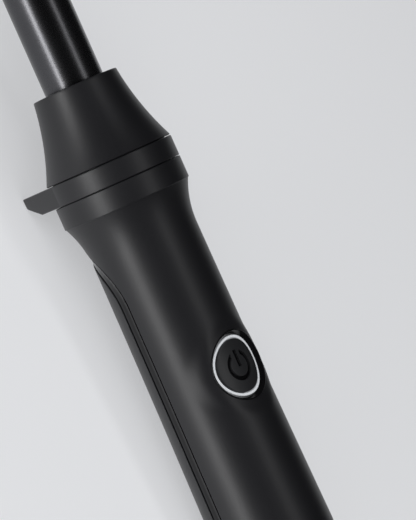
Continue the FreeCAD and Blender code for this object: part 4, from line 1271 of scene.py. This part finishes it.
@dataclass
class CoverScrews:
    """The two cross-head screws of the rear cover."""

    head_radius: float = 2.55 * MM
    head_height: float = 1.25 * MM
    head_edge: float = 0.45 * MM
    shank: float = 1.24 * MM
    shank_length: float = 11.0 * MM
    shank_edge: float = 0.3 * MM
    cross: tuple[float, float, float] = (2.6 * MM, 0.6 * MM, 1.4 * MM)

    def build(self) -> None:
        """Make one screw, copy it and dress the pair."""
        outline = Outline().run(
            (0.0, -self.shank_length), (self.shank, -self.shank_length, self.shank_edge),
            (self.shank, 0.0), (self.head_radius, 0.0),
            (self.head_radius, self.head_height, self.head_edge), (0.0, self.head_height))
        screw = Bench.turn("cover_screw", outline.points(), 48)
        for turn in (0.0, math.pi / 2):
            Bench.clear()
            bpy.ops.mesh.primitive_cube_add(
                size=1, location=(0, 0, self.head_height), rotation=(0, 0, turn),
                scale=self.cross)
            Bench.cut(screw, bpy.context.object)
        screws = []
        for level in LAYOUT.screw_levels:
            copy = screw.copy()
            copy.data = screw.data.copy()
            bpy.context.scene.collection.objects.link(copy)
            copy.matrix_world = (Matrix.Translation((-LAYOUT.screw_seat, 0, level))
                                 @ Matrix.Rotation(-math.pi / 2, 4, "Y"))
            screws.append(copy)
        bpy.data.objects.remove(screw)
        pair = Bench.join(screws, "cover_screws_skin")
        Bench.finish(pair, Look.STEEL, "handle", ["cover_screws"])


# --- what stays as CAD


@dataclass
class Insides:
    """The nodes whose CAD shapes are shown as they are, each with its own finish."""

    looks: dict[Look, tuple[str, ...]] = field(default_factory=lambda: {
        Look.TIP: ("tip_insulator",),
        Look.HEATPROOF: ("barrel_mount", "brush_holder"),
        Look.MICA: ("mica_washer",),
        Look.CERAMIC: ("heater_core",),
        Look.ALUMINIUM: ("heat_spreader_front", "heat_spreader_rear"),
        Look.GLASS_BEAD: ("thermistor",),
        Look.STEEL: ("mount_screws", "board_screws", "swivel_retainer", "tact_switch"),
        Look.FUSE_CASE: ("thermal_fuse",),
        Look.SLEEVE: ("heater_leads", "supply_leads"),
        Look.BOARD: ("control_board",),
        Look.COMPONENT: ("triac", "controller_chip"),
        Look.CAPACITOR: ("capacitor",),
        Look.LAMP: ("indicator_leds",),
        Look.BUTTON: ("switch_plunger",),
        Look.BRASS: ("slip_rings",),
        Look.BRONZE: ("brush_contacts",),
    })

    def dress(self) -> None:
        """Give each node its finish."""
        for look, nodes in self.looks.items():
            for node in nodes:
                materials = frame["nodes"][node].data.materials
                materials.clear()
                materials.append(look.material)
                log.info("%s: %s", node, look.value.name)


# --- studio


@dataclass(frozen=True)
class SoftBox:
    """A rectangular lamp that faces the iron.

    Its bearing is its angle from the camera round the iron's axis, positive to the right, and its
    lead is how far towards the barrel's tip it stands.  Its width lies across the axis.  Without
    glare it lights the iron and doesn't show in reflections.
    """

    name: str
    bearing: float
    distance: float
    width: float
    length: float
    power: float
    lead: float = 0.0
    glare: bool = True


@dataclass
class Studio:
    """The pale floor, the soft lamps and the camera."""

    lamps: tuple[SoftBox, ...] = (
        SoftBox("level_tip", math.radians(0), 1.1, 1.2, 1.2, 8.0, lead=0.8, glare=False),
        SoftBox("level_tail", math.radians(20), 1.1, 1.2, 1.2, 8.0, lead=-0.8, glare=False),
        SoftBox("key_box", math.radians(-41), 2.0, 0.37, 2.4, 29.0),
        SoftBox("top_box", math.radians(51), 1.2, 0.20, 1.5, 2.2),
    )
    camera_turn: float = math.radians(46)
    camera_roll: float = math.radians(23.9)
    camera_distance: float = 0.95
    camera_lead: float = 55 * MM
    aim_level: float = 134 * MM
    aim_side: float = 20.5 * MM
    view_height: float = 209.6 * MM
    sensor: float = 36.0
    floor_glow: tuple[float, float, float] = (0.86, 0.87, 0.89)
    floor_bounce: tuple[float, float, float] = (0.12, 0.12, 0.12)
    floor_paint: tuple[float, float, float] = (0.50, 0.505, 0.52)
    floor_lift: float = 0.46
    floor_size: float = 12.0
    floor_roughness: float = 0.9
    surround: float = 0.04
    surround_colour: tuple[float, float, float] = (0.80, 0.82, 0.85)

    @property
    def along(self) -> Vector:
        """The way from the tail to the tip."""
        return AXES.to_3x3().col[2]

    def _heading(self, bearing: float) -> Vector:
        """The way out from the iron's axis at a bearing from the camera."""
        turn = self.camera_turn - bearing
        return AXES.to_3x3() @ Vector((math.cos(turn), -math.sin(turn), 0))

    def build(self) -> None:
        """Set up the floor, world, lamps, camera and colour management."""
        self._camera()
        for box in self.lamps:
            self._lamp(box)
        self._floor()
        self._world()
        bpy.context.scene.view_settings.view_transform = "Standard"

    @staticmethod
    def _stand(data: bpy.types.ID, spot: Vector, right: Vector, up: Vector,
               back: Vector) -> bpy.types.Object:
        """Stand a camera or a lamp in the scene.

        Args:
            data: The camera or the lamp.
            spot: Its place.
            right: Its way right.
            up: Its way up.
            back: The way opposite to where it looks.

        Returns:
            Its object.
        """
        item = bpy.data.objects.new(data.name, data)
        bpy.context.scene.collection.objects.link(item)
        turn = Matrix((right, up, back)).transposed().to_4x4()
        item.matrix_world = Matrix.Translation(spot) @ turn
        return item

    def _camera(self) -> None:
        """A long lens, square to the iron's axis and rolled so that the barrel leans left."""
        side = self._heading(math.pi / 2)
        aim = AXES @ Vector((0, 0, self.aim_level)) + side * self.aim_side
        eye = aim + self._heading(0) * self.camera_distance + self.along * self.camera_lead
        back = (eye - aim).normalized()
        up = self.along * math.cos(self.camera_roll) + side * math.sin(self.camera_roll)
        right = up.cross(back).normalized()
        up = back.cross(right)
        data = bpy.data.cameras.new("camera")
        data.sensor_width = self.sensor
        data.lens = self.sensor * (eye - aim).length / self.view_height
        bpy.context.scene.camera = self._stand(data, eye, right, up, back)

    def _lamp(self, box: SoftBox) -> None:
        """Set up one lamp.

        Args:
            box: The lamp's sizes and place.
        """
        middle = AXES @ Vector((0, 0, self.aim_level))
        data = bpy.data.lights.new(box.name, "AREA")
        data.shape = "RECTANGLE"
        data.size, data.size_y = box.width, box.length
        data.energy = box.power
        spot = middle + self._heading(box.bearing) * box.distance + self.along * box.lead
        back = (spot - middle).normalized()
        right = self.along.cross(back).normalized()
        lamp = self._stand(data, spot, right, back.cross(right), back)
        lamp.visible_glossy = box.glare

    def _floor(self) -> None:
        """A plain floor, pale to the eye and in reflections, that throws little light back."""
        Bench.clear()
        bpy.ops.mesh.primitive_plane_add(size=self.floor_size)
        floor = bpy.context.object
        floor.name = "floor"
        material = bpy.data.materials.new("floor_paint")
        wiring = Wiring(material)
        seen = wiring.add("LightPath", {}, "Is Camera Ray")
        for way in ("Is Glossy Ray", "Is Transmission Ray"):
            ray = wiring.add("LightPath", {}, way)
            seen = wiring.add("Math", {0: seen, 1: ray}, operation="MAXIMUM")
        wiring.set(wiring.shader, {
            "Roughness": self.floor_roughness,
            "Specular IOR Level": 0.0,
            "Base Color": wiring.add("Mix", {
                "Factor": seen, "A": (*self.floor_bounce, 1.0), "B": (*self.floor_paint, 1.0),
            }, "Result", data_type="RGBA"),
            "Emission Color": (*self.floor_glow, 1.0),
            "Emission Strength": wiring.add("Math", {0: seen, 1: self.floor_lift},
                                            operation="MULTIPLY"),
        })
        floor.data.materials.append(material)

    def _world(self) -> None:
        """A dim, even surround."""
        world = bpy.data.worlds.new("surround")
        world.use_nodes = True
        background = world.node_tree.nodes["Background"]
        background.inputs["Color"].default_value = (*self.surround_colour, 1.0)
        background.inputs["Strength"].default_value = self.surround
        bpy.context.scene.world = world


def main() -> None:
    """Build every sub-assembly in order, then set the stage."""
    logging.basicConfig(level=logging.INFO, format="%(message)s")
    for assembly in (Handle, TailCap, Nose, Barrel, PowerButton, Swivel, CoverScrews):
        assembly().build()
    Insides().dress()
    Studio().build()


if __name__ == "__main__":
    main()
